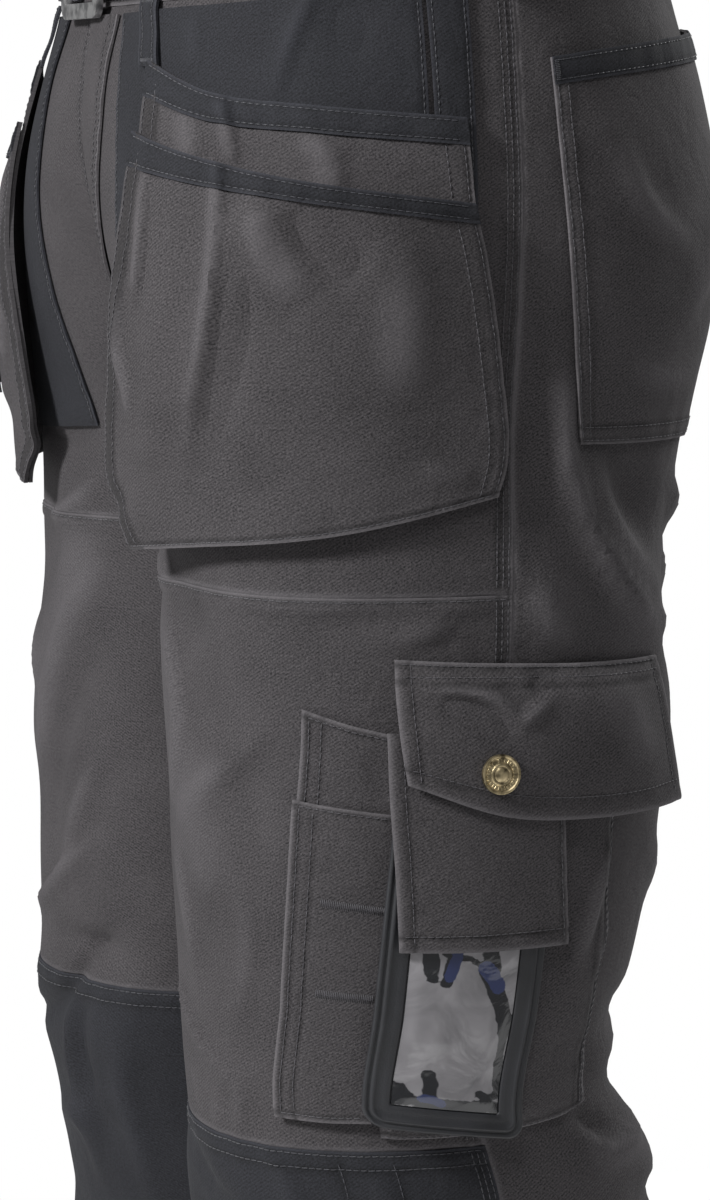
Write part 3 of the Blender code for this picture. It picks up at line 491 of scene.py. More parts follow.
def spunThread(name, dark, light):
    # polyester core-spun thread: a slight silky light on each stitch
    made, tree, shader = newMaterial(name)
    coords = addNode(tree, "ShaderNodeTexCoord").outputs["Object"]
    fibres = noise(tree, coords, {"Scale": 420.0, "Detail": 1.0})
    colour = mixColours(tree, dark, light, fibres)
    tree.links.new(colour.outputs[2], shader.inputs["Base Color"])
    setShader(shader, {"Roughness": 0.6, "Specular IOR Level": 0.4, "Sheen Weight": 0.2})
    return made


greyThread = spunThread("greySpunThread", "1f1e21", "48464b")
blackThread = spunThread("blackSpunThread", "17171a", "3d3e45")


def beltWebbing():
    # woven polyamide webbing: fine ribs across it with a dull shine
    made, tree, shader = newMaterial("wovenBlackWebbing")
    coords = addNode(tree, "ShaderNodeTexCoord").outputs["UV"]
    ribs = addNode(tree, "ShaderNodeTexWave", {"Scale": waveWidth / (1.6 * mm), "Distortion": 0.3},
                   {"Vector": coords}).outputs["Fac"]
    yarn = noise(tree, coords, {"Scale": 900.0, "Detail": 2.0})
    height = addNode(tree, "ShaderNodeMath", {"operation": "MULTIPLY_ADD", 1: 0.7}, {0: ribs, 2: yarn})
    colour = mixColours(tree, "101012", "34343a", height.outputs[0])
    tree.links.new(colour.outputs[2], shader.inputs["Base Color"])
    bumpShader(tree, shader, 0.7, 0.0004, height.outputs[0])
    setShader(shader, {"Roughness": 0.55, "Specular IOR Level": 0.5})
    return made


def brushedMetal(name, dark, light, roughness, grainScale):
    # metal with a fine brushed or tumbled grain, darker where it is dirty
    made, tree, shader = newMaterial(name)
    coords = addNode(tree, "ShaderNodeTexCoord").outputs["Object"]
    stretched = addNode(tree, "ShaderNodeMapping", {"Scale": (1.0, 1.0, 0.15)}, {"Vector": coords}).outputs[0]
    grain = noise(tree, stretched, {"Scale": grainScale, "Detail": 3.0})
    dirt = noise(tree, coords, {"Scale": 190.0, "Detail": 3.0})
    spots = mapRange(tree, dirt, {"From Min": 0.36, "From Max": 0.6})
    colour = mixColours(tree, dark, light, spots)
    tree.links.new(colour.outputs[2], shader.inputs["Base Color"])
    polish = mapRange(tree, grain, {"To Min": roughness - 0.1, "To Max": roughness + 0.14})
    tree.links.new(polish, shader.inputs["Roughness"])
    bumpShader(tree, shader, 0.25, 0.0001, grain)
    setShader(shader, {"Metallic": 1.0})
    return made


def mouldedVinyl():
    # soft black vinyl, moulded: a fine leather-like grain that breaks up the shine
    made, tree, shader = newMaterial("mouldedBlackVinyl")
    coords = addNode(tree, "ShaderNodeTexCoord").outputs["Object"]
    cells = addNode(tree, "ShaderNodeTexVoronoi", {"Scale": 1 / (0.9 * mm)}, {"Vector": coords})
    marks = noise(tree, coords, {"Scale": 60.0, "Detail": 4.0})
    colour = mixColours(tree, "0e0f11", "212227", marks)
    tree.links.new(colour.outputs[2], shader.inputs["Base Color"])
    dull = mapRange(tree, marks, {"To Min": 0.4, "To Max": 0.66})
    tree.links.new(dull, shader.inputs["Roughness"])
    bumpShader(tree, shader, 0.3, 0.0002, cells.outputs["Distance"])
    return made


def clearFilm():
    # clear PVC film that has gone wavy: broad shiny patches over the dark sheet behind it, painted into its
    # colour as reflections
    made, tree, shader = newMaterial("wavyClearFilmPaintedReflections")
    coords = addNode(tree, "ShaderNodeTexCoord").outputs["UV"]
    wobble = noise(tree, coords, {"Scale": 110.0, "Detail": 3.0, "Distortion": 1.0})
    paintedReflectionStreaks = noise(tree, coords, {"Scale": 45.0, "Detail": 3.0, "Distortion": 1.2})
    # broad grey patches painted in as reflections over a dark ground
    steps = mixColours(tree, "454447", "908e91", paintedReflectionStreaks).outputs[2]
    # dark and blue blots of painted reflection, their edges roughened by the waves
    for field, hexColour in (("paintedDarkReflection", "141519"), ("paintedBlueReflection", "232b4c")):
        amount = addNode(tree, "ShaderNodeAttribute", {"attribute_name": field}).outputs["Fac"]
        rough = addNode(tree, "ShaderNodeMath", {"operation": "MULTIPLY_ADD", 1: 1.3}, {0: wobble, 2: amount})
        sharp = mapRange(tree, rough.outputs[0], {"From Min": 1.12, "From Max": 1.26})
        steps = addNode(tree, "ShaderNodeMix", {"data_type": "RGBA", 7: linear(hexColour)},
                        {0: sharp, 6: steps}).outputs[2]
    tree.links.new(steps, shader.inputs["Base Color"])
    bumpShader(tree, shader, 0.5, 0.002, paintedReflectionStreaks)
    setShader(shader, {"Roughness": 0.12, "IOR": 1.53, "Coat Weight": 0.6, "Coat Roughness": 0.04})
    return made


# Painted reflections on the film: dark and blue blots, in shares across and down it
paintedWindowReflections = {
    "paintedDarkReflection": (((0.16, 0.0), (0.14, 0.14), (0.2, 0.3), 0.07), ((0.33, 0.0), (0.38, 0.18), (0.33, 0.33), 0.055),
              ((0.6, 0.0), (0.7, 0.14), (0.74, 0.24), 0.085), ((0.7, 0.26), (0.86, 0.4), (0.95, 0.56), 0.08),
              ((0.3, 0.17), (0.5, 0.19), (0.7, 0.24), 0.035), ((0.97, 0.5), (0.93, 0.7), (0.97, 0.86), 0.05),
              ((0.0, 0.96), (0.5, 0.98), (1.0, 0.97), 0.07), ((0.3, 0.84), (0.36, 0.92), (0.3, 1.0), 0.08),
              ((0.0, 0.9), (0.12, 0.92), (0.2, 0.97), 0.06), ((0.8, 0.9), (0.9, 0.93), (1.0, 0.9), 0.045)),
    "paintedBlueReflection": (((0.14, 0.0), (0.13, 0.06), (0.12, 0.1), 0.075), ((0.4, 0.16), (0.38, 0.24), (0.35, 0.3), 0.055),
             ((0.68, 0.24), (0.76, 0.28), (0.82, 0.33), 0.075),
             ((0.56, 0.0), (0.58, 0.05), (0.6, 0.08), 0.06),
             ((0.25, 0.95), (0.35, 0.94), (0.44, 0.97), 0.05)),
}


def blotField(s, t, blots):
    # nearness to the middle line of each blot, 1 on it and 0 at its edge
    field = np.zeros_like(s)
    for a, b, c, wide in blots:
        for q in np.linspace(0, 1, 25):
            x = (1 - q) ** 2 * a[0] + 2 * q * (1 - q) * b[0] + q * q * c[0]
            y = (1 - q) ** 2 * a[1] + 2 * q * (1 - q) * b[1] + q * q * c[1]
            field = np.maximum(field, 1 - (((s - x) / wide) ** 2 + ((t - y) * 1.9 / wide) ** 2) / 2)
    return np.clip(field, 0, 1)


blackWebbing = beltWebbing()
buckleSteel = brushedMetal("brushedSteel", "8a8a8c", "d0d0d0", 0.34, 900.0)
oldBrass = brushedMetal("agedBrass", "4a4232", "c2b28e", 0.38, 700.0)
blackVinyl = mouldedVinyl()
filmLook = clearFilm()
print("materials ready")

# Sheets of cloth

sheets = {}


def smooth(value):
    value = np.clip(value, 0, 1)
    return value * value * (3 - 2 * value)


def meshObject(name, points, faces, material, uv=None, fields=None, angle=None):
    mesh = bpy.data.meshes.new(name)
    mesh.from_pydata([tuple(p) for p in points], [], [tuple(int(i) for i in f) for f in faces])
    if uv is not None:
        at = np.zeros(len(mesh.loops), int)
        mesh.loops.foreach_get("vertex_index", at)
        mesh.uv_layers.new(name="cloth").data.foreach_set("uv", np.asarray(uv, float)[at].ravel())
    for field, values in (fields or {}).items():
        mesh.attributes.new(field, "FLOAT", "POINT").data.foreach_set("value", np.asarray(values, float))
    mesh.shade_smooth()
    if angle:
        mesh.set_sharp_from_angle(angle=math.radians(angle))
    mesh.materials.append(material)
    made = bpy.data.objects.new(name, mesh)
    bpy.context.scene.collection.objects.link(made)
    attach(made, "root")
    return made


def wallFaces(rows, columns, flip):
    wide, layer = columns + 1, (rows + 1) * (columns + 1)
    a = (np.arange(rows)[:, None] * wide + np.arange(columns)[None, :]).ravel()
    outer = np.stack([a, a + 1, a + wide + 1, a + wide], 1)
    inner = np.stack([a, a + wide, a + wide + 1, a + 1], 1) + layer
    rim = list(range(columns)) + [r * wide + columns for r in range(rows)]
    rim += [rows * wide + c for c in range(columns, 0, -1)] + [r * wide for r in range(rows, 0, -1)]
    rim = np.array(rim)
    following = np.roll(rim, -1)
    sides = np.stack([following, rim, layer + rim, layer + following], 1)
    faces = np.concatenate([outer, inner, sides])
    return faces[:, ::-1] if flip else faces


def facesIn(outer, inner, k):
    # whether faces wound along rows then columns would point into the cloth, seen at one place
    turn = np.cross(outer[k[0], k[1] + 1] - outer[k], outer[k[0] + 1, k[1]] - outer[k])
    return np.dot(turn, outer[k] - inner[k]) < 0


# How the sewn edges of a cloth piece look, in mm; an edge's own values come before these
seamLook = {
    "high": 0.6, "step": 2.2,                   # a turned edge's extra height, and the slope where it ends
    "roll": 0.4, "rollWide": 0.8,               # the edge curls away from the eye
    "wear": 0.8, "wearWide": 1.6,               # rubbed paler
    # a row's groove depth and width, then the width of the painted shade along it
    "rowDeep": 0.5, "rowWide": 0.9, "rowShade": 1.1,
    "pucker": 0.24, "puckerWide": 3.6, "puckerLong": 2.6,
}


class Sheet:
    # a lattice of cloth: shares across and down, with its place on the leg and its thickness
    def __init__(self, name, leg, s, t, u, z, inner, thick, edges=None, lift=None):
        self.name, self.leg, self.s, self.t, self.u, self.z = name, leg, s, t, u, z
        self.inner, self.edges = inner, edges or {}
        du, dz = np.diff(u, axis=1), np.diff(z, axis=1)
        across = np.concatenate([np.zeros((len(t), 1)), np.cumsum(np.hypot(du, dz), 1)], 1)
        du, dz = np.diff(u, axis=0), np.diff(z, axis=0)
        down = np.concatenate([np.zeros((1, len(s))), np.cumsum(np.hypot(du, dz), 0)], 0)
        self.wide, self.long = across[:, -1], down[-1]
        self.away = {"left": across, "right": across[:, -1:] - across,
                     "top": down, "bottom": down[-1:] - down}
        form = np.zeros_like(u)
        self.wear, self.stripAndPaintedShade, self.extra = np.zeros_like(u), np.zeros_like(u), {}
        for side, edge in self.edges.items():
            d = self.away[side]
            if edge.get("turned"):
                step = smooth((edge["turned"] + seamLook["step"] / 2 - d) / seamLook["step"])
                form = np.maximum(form, edge.get("high", seamLook["high"]) * step)
        for side, edge in self.edges.items():
            d = self.away[side]
            form = form - edge.get("roll", seamLook["roll"]) * np.exp(-(d / seamLook["rollWide"]) ** 2)
            rubbed = edge.get("wear", seamLook["wear"]) * np.exp(-(d / seamLook["wearWide"]) ** 2)
            self.wear = np.maximum(self.wear, rubbed)
            if edge.get("strip"):
                self.stripAndPaintedShade = np.maximum(self.stripAndPaintedShade, 0.8 * smooth((edge["strip"] + 0.6 - d) / 1.2))
            for row in edge.get("rows", ()):
                form = form - seamLook["rowDeep"] * np.exp(-((d - row) / seamLook["rowWide"]) ** 2)
                run = self.along(side)
                pull = np.sin(run / seamLook["puckerLong"] + 2.0 * np.sin(run / 17 + row))
                form = form + seamLook["pucker"] * pull * np.exp(-((d - row) / seamLook["puckerWide"]) ** 2)
                # painted shade along the row's groove, deepest where the puckers pull
                paintedShading = (0.75 + 0.25 * pull) * np.exp(-((d - row) / seamLook["rowShade"]) ** 2)
                self.stripAndPaintedShade = np.maximum(self.stripAndPaintedShade, paintedShading)
        if lift is not None:
            form = form + lift
            # raised creases are paled as a painted highlight
            self.wear = np.maximum(self.wear, np.clip((lift - 0.8) / 5, 0, 0.35))
        self.out = inner + thick + form

    def along(self, side):
        return self.away["top"] if side in ("left", "right") else self.away["left"]

    def build(self, material, nodes, held="hung", restsOn=()):
        outer, inner = self.leg.place(self.u, self.z, self.out, self.inner)
        rows, columns = self.u.shape[0] - 1, self.u.shape[1] - 1
        flip = facesIn(outer, inner, (rows // 2, columns // 2))
        points = np.concatenate([outer.reshape(-1, 3), inner.reshape(-1, 3)])
        uv = np.stack([self.u.ravel(), self.z.ravel()], 1) * mm
        # raised folds are paled as a painted highlight, kept in the same field as the rubbed edges
        paintedRidgeHighlight = np.clip((self.leg.fold(self.u, self.z) - 1) / 9, 0, 0.35)
        fields = {"wear": np.maximum(self.wear, paintedRidgeHighlight), "stripAndPaintedShade": self.stripAndPaintedShade, **self.extra}
        fields = {key: np.tile(value.ravel(), 2) for key, value in fields.items()}
        self.object = meshObject(self.name, points, wallFaces(rows, columns, flip), material,
                                 np.concatenate([uv, uv]), fields, 50)
        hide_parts(*nodes)
        # each cell's area from its two diagonals
        u, z = self.u, self.z
        a = (u[:-1, :-1] - u[1:, 1:]) * (z[:-1, 1:] - z[1:, :-1])
        b = (u[:-1, 1:] - u[1:, :-1]) * (z[:-1, :-1] - z[1:, 1:])
        self.flat = (float(self.wide.max()) * mm, float(self.long.max()) * mm)
        self.area = float(np.abs(a - b).sum() / 2 * mm * mm)
        self.held, self.restsOn = held, list(restsOn)
        self.threads = []
        sheets[self.name] = self
        return self

    def at(self, st, up=0.0):
        # the cloth's outer surface at shares (s, t), as (u, z, out)
        s, t = np.asarray(st, float).T
        i = np.clip(np.searchsorted(self.s, s) - 1, 0, len(self.s) - 2)
        k = np.clip(np.searchsorted(self.t, t) - 1, 0, len(self.t) - 2)
        fs = (s - self.s[i]) / (self.s[i + 1] - self.s[i])
        ft = (t - self.t[k]) / (self.t[k + 1] - self.t[k])
        values = []
        for g in (self.u, self.z, self.out):
            low = g[k, i] * (1 - fs) + g[k, i + 1] * fs
            high = g[k + 1, i] * (1 - fs) + g[k + 1, i + 1] * fs
            values.append(low * (1 - ft) + high * ft)
        values[2] = values[2] + up
        return values

    def row(self, side, inset, trim=2.5):
        # a sewing line at a distance from one edge
        n = 80
        if side in ("left", "right"):
            t = np.linspace(trim / self.long.mean(), 1 - trim / self.long.mean(), n)
            s = inset / np.interp(t, self.t, self.wide)
            return np.stack([s if side == "left" else 1 - s, t], 1)
        s = np.linspace(trim / self.wide.mean(), 1 - trim / self.wide.mean(), n)
        t = inset / np.interp(s, self.s, self.long)
        return np.stack([s, t if side == "top" else 1 - t], 1)


# Sewing: each stitch is a small grain of thread laid in the cloth

stitchLook = {"pitch": 3.3, "length": 2.6, "radius": 0.3}
barLook = {"pitch": 0.75, "radius": 0.36}         # a bar tack's stitches lie side by side


def stitchPoints(sheet, path, look):
    finer = np.linspace(0, len(path) - 1, len(path) * 5)
    dense = np.stack([np.interp(finer, np.arange(len(path)), path[:, k]) for k in (0, 1)], 1)
    u, z, out = sheet.at(dense)
    world = sheet.leg.place(u, z, out) / mm
    run = np.concatenate([[0], np.cumsum(np.linalg.norm(np.diff(world, axis=0), axis=1))])
    count = int(run[-1] / look["pitch"])
    if count < 1:
        return []
    starts = np.arange(count) * look["pitch"] + (run[-1] - count * look["pitch"]) / 2
    stations = [starts + look["length"] * share for share in (0.0, 0.5, 1.0)]
    return [np.stack([np.interp(at, run, dense[:, k]) for k in (0, 1)], 1) for at in stations]


def layStitches(sheet, places, look):
    # grains from their three stations of shares
    stations = []
    for st, up in zip(places, (0.0, 0.24, 0.0)):
        u, z, out = sheet.at(st)
        stations.append([p / mm for p in sheet.leg.place(u, z, out + up, out + up + 1)])
    a, b, c = (s[0] for s in stations)
    normal = stations[1][1] - stations[1][0]
    normal /= np.linalg.norm(normal, axis=1, keepdims=True)
    way = c - a
    way /= np.linalg.norm(way, axis=1, keepdims=True) + 1e-9
    side = np.cross(way, normal)
    r = look["radius"]
    points = [a - way * r * 0.6]
    for centre, size in ((a, 0.62), (b, 1.0), (c, 0.62)):
        for k in range(4):
            turn = math.pi / 4 + k * math.pi / 2
            points.append(centre + (side * math.cos(turn) + normal * math.sin(turn)) * r * size)
    points.append(c + way * r * 0.6)
    return np.stack(points, 1) * mm


grainFaces = [(0, 1 + (k + 1) % 4, 1 + k) for k in range(4)]
for ring in (1, 5):
    grainFaces += [(ring + k, ring + (k + 1) % 4, ring + 4 + (k + 1) % 4, ring + 4 + k) for k in range(4)]
grainFaces += [(9 + k, 9 + (k + 1) % 4, 13) for k in range(4)]


def sew(sheet, name, material, extra=(), bars=()):
    # all the sewing lines of a sheet's edges, further lines, and bar tacks, joined as one piece
    grains = []
    rows = [sheet.row(side, inset) for side, edge in sheet.edges.items() for inset in edge.get("rows", ())]
    for path in list(extra) + rows:
        places = stitchPoints(sheet, np.asarray(path, float), stitchLook)
        if len(places):
            grains.append(layStitches(sheet, places, stitchLook))
    for a, b, wide in bars:
        a, b = np.array(a, float), np.array(b, float)
        scale = np.array([sheet.wide.mean(), sheet.long.mean()])
        way = (b - a) * scale
        count = max(3, int(np.linalg.norm(way) / barLook["pitch"]))
        cross = np.array([-way[1], way[0]]) / np.linalg.norm(way) * wide / 2 / scale
        at = a + (b - a) * ((np.arange(count) + 0.5) / count)[:, None]
        grains.append(layStitches(sheet, [at - cross, at, at + cross], barLook))
    if not grains:
        return
    grains = np.concatenate(grains)
    count = len(grains)
    faces = [tuple(14 * g + i for i in f) for g in range(count) for f in grainFaces]
    made = meshObject(name, grains.reshape(-1, 3), faces, material, angle=80)
    sheet.threads.append(made)


def threadFor(material):
    return blackThread if material == blackTwill else greyThread


# The legs' panels, from the waistband to the hem

panelWall = 1.35
panelStep = {"upper": 4.0, "lower": 4.6}
panelSeams = {"kneePatch": (43.0, 67.0)}          # mm from the side seam


def panelSheet(side, name, node, top, bottom, behind, material, edges, step, restsOn):
    leg = legs[side]
    t = spread(top - bottom, step)
    heights = top - t
    tops = heights + (waistTilt if behind else -waistTilt) * np.clip((heights - tiltEnds) / -tiltEnds, 0, 1)
    ends = np.array([leg.edge(z, behind) for z in tops])
    inset = planeGap if behind else -planeGap
    mean = np.abs(ends).mean()
    s = spread(mean, step) / mean
    u = inset + ends[:, None] * s[None, :] - inset * s[None, :] * 2
    z = np.repeat(heights[:, None], len(s), 1)
    z = z + tilt(u, z)
    inner = np.full_like(u, -panelWall)
    flatten = coverMask(side, behind, u, z)
    sheet = Sheet(f"{name}{side.capitalize()}", leg, s, t / (top - bottom), u, z, inner, panelWall, edges)
    seams = panelSeams.get(name, ())
    for place in seams:
        away = np.abs(sheet.away["left"] - place)
        sheet.out = sheet.out - 0.5 * np.exp(-(away / 0.9) ** 2) + 0.25 * np.exp(-((away - 2.4) / 1.2) ** 2)
        # painted shade along the seam's groove
        sheet.stripAndPaintedShade = np.maximum(sheet.stripAndPaintedShade, 0.9 * np.exp(-(away / 1.1) ** 2))
    sheet.out = sheet.out * flatten
    sheet.build(material, [f"{node}_{side}"], "hung", restsOn)
    down = np.linspace(0.02, 0.98, 60)
    lines = [np.stack([place / np.interp(down, sheet.t, sheet.wide), down], 1) for place in seams]
    sew(sheet, f"{name}Sewing{side.capitalize()}", threadFor(material), lines)
    return sheet


def coverMask(side, behind, u, z):
    # seam rolls are pressed flat under the pockets that lie on them
    mask = np.ones_like(u)
    if not behind:
        mask *= 1 - 0.8 * smooth((-z - 205) / 15) * smooth((z + 292) / 15) * smooth((-u - 2) / 3)
    if side == "left":
        mask *= 1 - 0.75 * smooth((-z - 334) / 10) * smooth((z + 548) / 10)
    return mask


sideSeam = {"turned": 8.5, "rows": (1.8, 4.4, 7.0), "high": 0.7}
patchSeam = {"turned": 9, "rows": (1.8, 8.0), "high": 0.8}
hemSeam = {"turned": 22, "rows": (20.0,), "high": 0.8}
# name, node, top, bottom, material, step, edges
frontPanels = (
    ("frontUpper", "front_upper", -waistbandDeep, yokeSeam, greyTwill, "upper",
     {"left": sideSeam, "bottom": {"roll": 0.5},
      "right": {"turned": 6, "rows": (1.8, 5.2), "high": 0.4}}),
    ("frontThigh", "front_thigh", yokeSeam, kneeSeam, greyTwill, "upper",
     {"left": sideSeam, "top": {"turned": 7, "rows": (1.8,), "high": 0.7},
      "bottom": {"roll": 0.5}, "right": {"roll": 0.3}}),
    ("kneePatch", "knee_patch", kneeSeam, shinSeam, blackTwill, "upper",
     {"left": sideSeam, "top": patchSeam, "bottom": patchSeam, "right": {"roll": 0.3}}),
    ("frontShin", "front_shin", shinSeam, hem, greyTwill, "lower",
     {"left": sideSeam, "top": {"roll": 0.5}, "bottom": hemSeam, "right": {"roll": 0.3}}),
)
backEdges = {"left": {"roll": 0.5}, "right": {"turned": 8, "rows": (1.8, 6.6), "high": 0.6},
             "bottom": hemSeam}

for side in ("left", "right"):
    above = f"waistband{side.capitalize()}"
    for name, node, top, bottom, material, step, edges in frontPanels:
        panelSheet(side, name, node, top, bottom, False, material, edges, panelStep[step], [above])
        above = f"{name}{side.capitalize()}"
    panelSheet(side, "backLeg", "back_leg", -waistbandDeep, hem, True, greyTwill, backEdges,
               panelStep["lower"], [f"waistband{side.capitalize()}"])
print("leg panels made")

# The waistband, belt loops and belt

waistbandLook = {"proud": 1.0, "rowsIn": 2.2, "wall": 1.5}


def waistbandSheet(side):
    leg = legs[side]
    front = leg.edge(waistTop - waistTilt - 20, False)
    back = leg.edge(waistTop + waistTilt - 20, True)
    s = spread(back - front, 4.0) / (back - front)
    t = spread(waistbandDeep, 2.6) / waistbandDeep
    u = np.repeat((front + (back - front) * s)[None, :], len(t), 0)
    z = -waistbandDeep * t[:, None] + tilt(u, np.repeat(-waistbandDeep * t[:, None], len(s), 1))
    rows = (waistbandLook["rowsIn"],)
    edges = {"top": {"rows": rows, "roll": 0.7}, "bottom": {"rows": rows, "roll": 0.5}}
    wall = waistbandLook["wall"]
    inner = np.full_like(u, -wall)
    sheet = Sheet(f"waistband{side.capitalize()}", leg, s, t, u, z, inner,
                  wall + waistbandLook["proud"], edges)
    sheet.build(greyTwill, [f"waistband_{side}"], "hung", ["belt"])
    # both ends lie on the centre line
    for vertex in sheet.object.data.vertices:
        if vertex.index % len(s) in (0, len(s) - 1):
            vertex.co.x = leg.sign * planeGap * mm
    sew(sheet, f"waistbandSewing{side.capitalize()}", greyThread)


beltLook = {"centre": -24.0, "wide": 36.0, "out": 1.9, "thick": 2.6, "frontGap": 8.0, "ribs": 6, "rib": 0.22,
            "backLap": 6.0, "edgeRoll": 0.5, "edgeWide": 1.2}
loopLook = {"wide": 12.0, "places": (("front", -128), ("side", -6), ("back", 128)), "thick": 1.4}
loopOut = beltLook["out"] + beltLook["thick"] + 0.5 - waistbandLook["proud"]
loopRows = ((-3.0, 0.6), (-4.5, 2.4), (-5.2, loopOut), (-24, loopOut), (-43.0, loopOut), (-43.7, 2.4),
            (-45.2, 0.6))
loopShares = (0, 0.06, 0.14, 0.26, 0.5, 0.74, 0.86, 0.94, 1.0)


def beltLoops(side):
    leg = legs[side]
    for placeName, centre in loopLook["places"]:
        t = np.linspace(0, 1, 49)
        rows = through(loopRows, t * (len(loopRows) - 1))
        s = np.array(loopShares)
        u = np.repeat((centre + (s - 0.5) * loopLook["wide"])[None, :], len(t), 0)
        z = rows[:, :1] + tilt(u, np.full_like(u, beltLook["centre"]))
        inner = np.repeat(rows[:, 1:] + waistbandLook["proud"], len(s), 1)
        edges = {"left": {"rows": (2.6,), "roll": 0.35}, "right": {"rows": (2.6,), "roll": 0.35}}
        sheet = Sheet(f"beltLoop{placeName.capitalize()}{side.capitalize()}", leg, s, t, u, z, inner,
                      loopLook["thick"], edges)
        sheet.build(greyTwill, [f"belt_loop_{placeName}_{side}"], "folded", [f"waistband{side.capitalize()}"])
        sew(sheet, f"beltLoopSewing{placeName.capitalize()}{side.capitalize()}", greyThread,
            bars=(((0.12, 0.10), (0.88, 0.10), 1.8), ((0.12, 0.90), (0.88, 0.90), 1.8)))


class WholeBelt:
    # the belt crosses both halves, so its points are made on each leg and joined at the back
    def __init__(self):
        t = np.linspace(0, 1, 19)
        outer, inner, uv = [], [], []
        for side in ("left", "right"):
            leg = legs[side]
            front = leg.edge(beltLook["centre"] - waistTilt, False) + beltLook["frontGap"]
            back = leg.edge(beltLook["centre"] + waistTilt, True) - beltLook["backLap"]
            row = np.linspace(front, back, 131)
            u = np.repeat(row[None, :], len(t), 0)
            drop = (0.5 - t)[:, None] * beltLook["wide"]
            z = beltLook["centre"] + drop + tilt(u, np.full_like(u, beltLook["centre"]))
            toEdge = np.minimum(t, 1 - t) * beltLook["wide"]
            ribs = beltLook["rib"] * np.cos(t * 2 * math.pi * beltLook["ribs"])
            ribs = (ribs - beltLook["edgeRoll"] * np.exp(-(toEdge / beltLook["edgeWide"]) ** 2))[:, None]
            a, b = leg.place(u, z, beltLook["out"] + beltLook["thick"] + ribs - 0.1, beltLook["out"] + 0 * u)
            if side == "right":
                a, b, u = a[:, ::-1], b[:, ::-1], 2 * back - u[:, ::-1]
            outer.append(a)
            inner.append(b)
            uv.append(np.stack([u, z], -1) * mm)
        self.outer, self.inner, self.uv = (np.concatenate(g, axis=1) for g in (outer, inner, uv))

    def build(self):
        rows, columns = self.outer.shape[0] - 1, self.outer.shape[1] - 1
        flip = facesIn(self.outer, self.inner, (rows // 2, 20))
        points = np.concatenate([self.outer.reshape(-1, 3), self.inner.reshape(-1, 3)])
        uv = np.concatenate([self.uv.reshape(-1, 2)] * 2)
        made = meshObject("wovenBelt", points, wallFaces(rows, columns, flip), blackWebbing, uv, None, 50)
        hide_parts("belt")


for side in ("left", "right"):
    waistbandSheet(side)
    beltLoops(side)
WholeBelt().build()
print("waistband, belt and loops made")

# Pieces that lie on the panels: rows of (u, z, out) from front to back, top row first

rest = 0.7                # mm off the form where a piece is sewn down
patchWall = 1.4
bandWall = 1.2
bandUp = patchWall + 0.35
holsterRows = {
    "leftBack": (
        ((-172, -78, 4.2), (-134, -92, 3.6), (-90, -97, 3.4), (-26, -102, 3.4)),
        ((-176, -136, 9.0), (-134, -140, 5.0), (-84, -142, 3.6), (-22, -146, 3.4)),
        ((-187, -190, 13.0), (-134, -190, 6.0), (-80, -190, 3.8), (-12, -192, 3.0)),
        ((-196, -256, 21.0), (-136, -250, 8.6), (-76, -244, 4.6), (-4, -236, 1.6)),
        ((-180, -289, 15.6), (-136, -284, 9.0), (-76, -277, 5.0), (-8, -262, 1.2)),
    ),
    "leftFront": (
        ((-175, -109, 8.8), (-134, -121, 16.0), (-90, -131, 19.0), (-24, -138, 5.6)),
        ((-181, -155, 13.0), (-134, -158, 16.0), (-84, -160, 16.0), (-17, -166, 5.4)),
        ((-189, -204, 17.0), (-134, -204, 16.0), (-80, -204, 14.0), (-9, -206, 5.0)),
        ((-196, -259, 23.6), (-136, -254, 13.6), (-76, -248, 9.6), (-4, -240, 4.0)),
        ((-180, -289, 18.0), (-136, -284, 11.2), (-76, -277, 7.2), (-8, -262, 3.4)),
    ),
    "rightBack": (
        ((-176, -77, 3.6), (-136, -92, 3.4), (-91, -97, 3.4), (-26, -102, 3.4)),
        ((-181, -136, 6.0), (-136, -140, 4.4), (-85, -142, 3.6), (-22, -146, 3.4)),
        ((-190, -186, 8.6), (-137, -188, 5.2), (-81, -190, 3.8), (-12, -192, 3.0)),
        ((-194, -250, 13.0), (-138, -247, 7.4), (-77, -244, 4.4), (-4, -236, 1.4)),
        ((-186, -289, 13.0), (-137, -284, 8.2), (-76, -277, 5.0), (-8, -262, 1.2)),
    ),
    "rightFront": (
        ((-179, -108, 7.0), (-136, -121, 11.4), (-91, -131, 13.0), (-24, -138, 5.6)),
        ((-185, -154, 9.0), (-136, -158, 13.0), (-85, -160, 14.0), (-17, -166, 5.4)),
        ((-192, -200, 11.6), (-137, -200, 13.2), (-81, -200, 12.6), (-9, -202, 5.0)),
        ((-196, -255, 16.0), (-138, -252, 12.4), (-77, -248, 9.2), (-4, -240, 4.0)),
        ((-186, -289, 15.4), (-137, -284, 10.6), (-76, -277, 7.2), (-8, -262, 3.4)),
    ),
}
holsterRidges = ((-150, -140, -152, -240, 13, 4.0), (-112, -150, -134, -215, 12, 3.5))
holsterCreases = (
    (((-128, -100), (-124, -112), (-124, -138), (-126, -178), (-129, -208), (-138, -256)), 4.5, 1.5, 0.5),
    (((-116, -126), (-115, -170), (-118, -205), (-127, -250)), 6, -1.4, 1.0),
    (((-162, -116), (-162, -160), (-165, -178)), 5, 1.8, 0.6),
    (((-156, -124), (-155, -160), (-158, -200)), 7, -1.4, 1.0),
    (((-174, -160), (-176, -196), (-168, -214), (-166, -228)), 6, 1.8, 0.5),
    (((-120, -140), (-104, -156), (-86, -178)), 14, 1.8, 0.8),
    (((-98, -140), (-86, -156), (-66, -170)), 12, -1.6, 1.0),
    (((-60, -150), (-52, -190), (-50, -226)), 14, 1.2, 0.8),
)
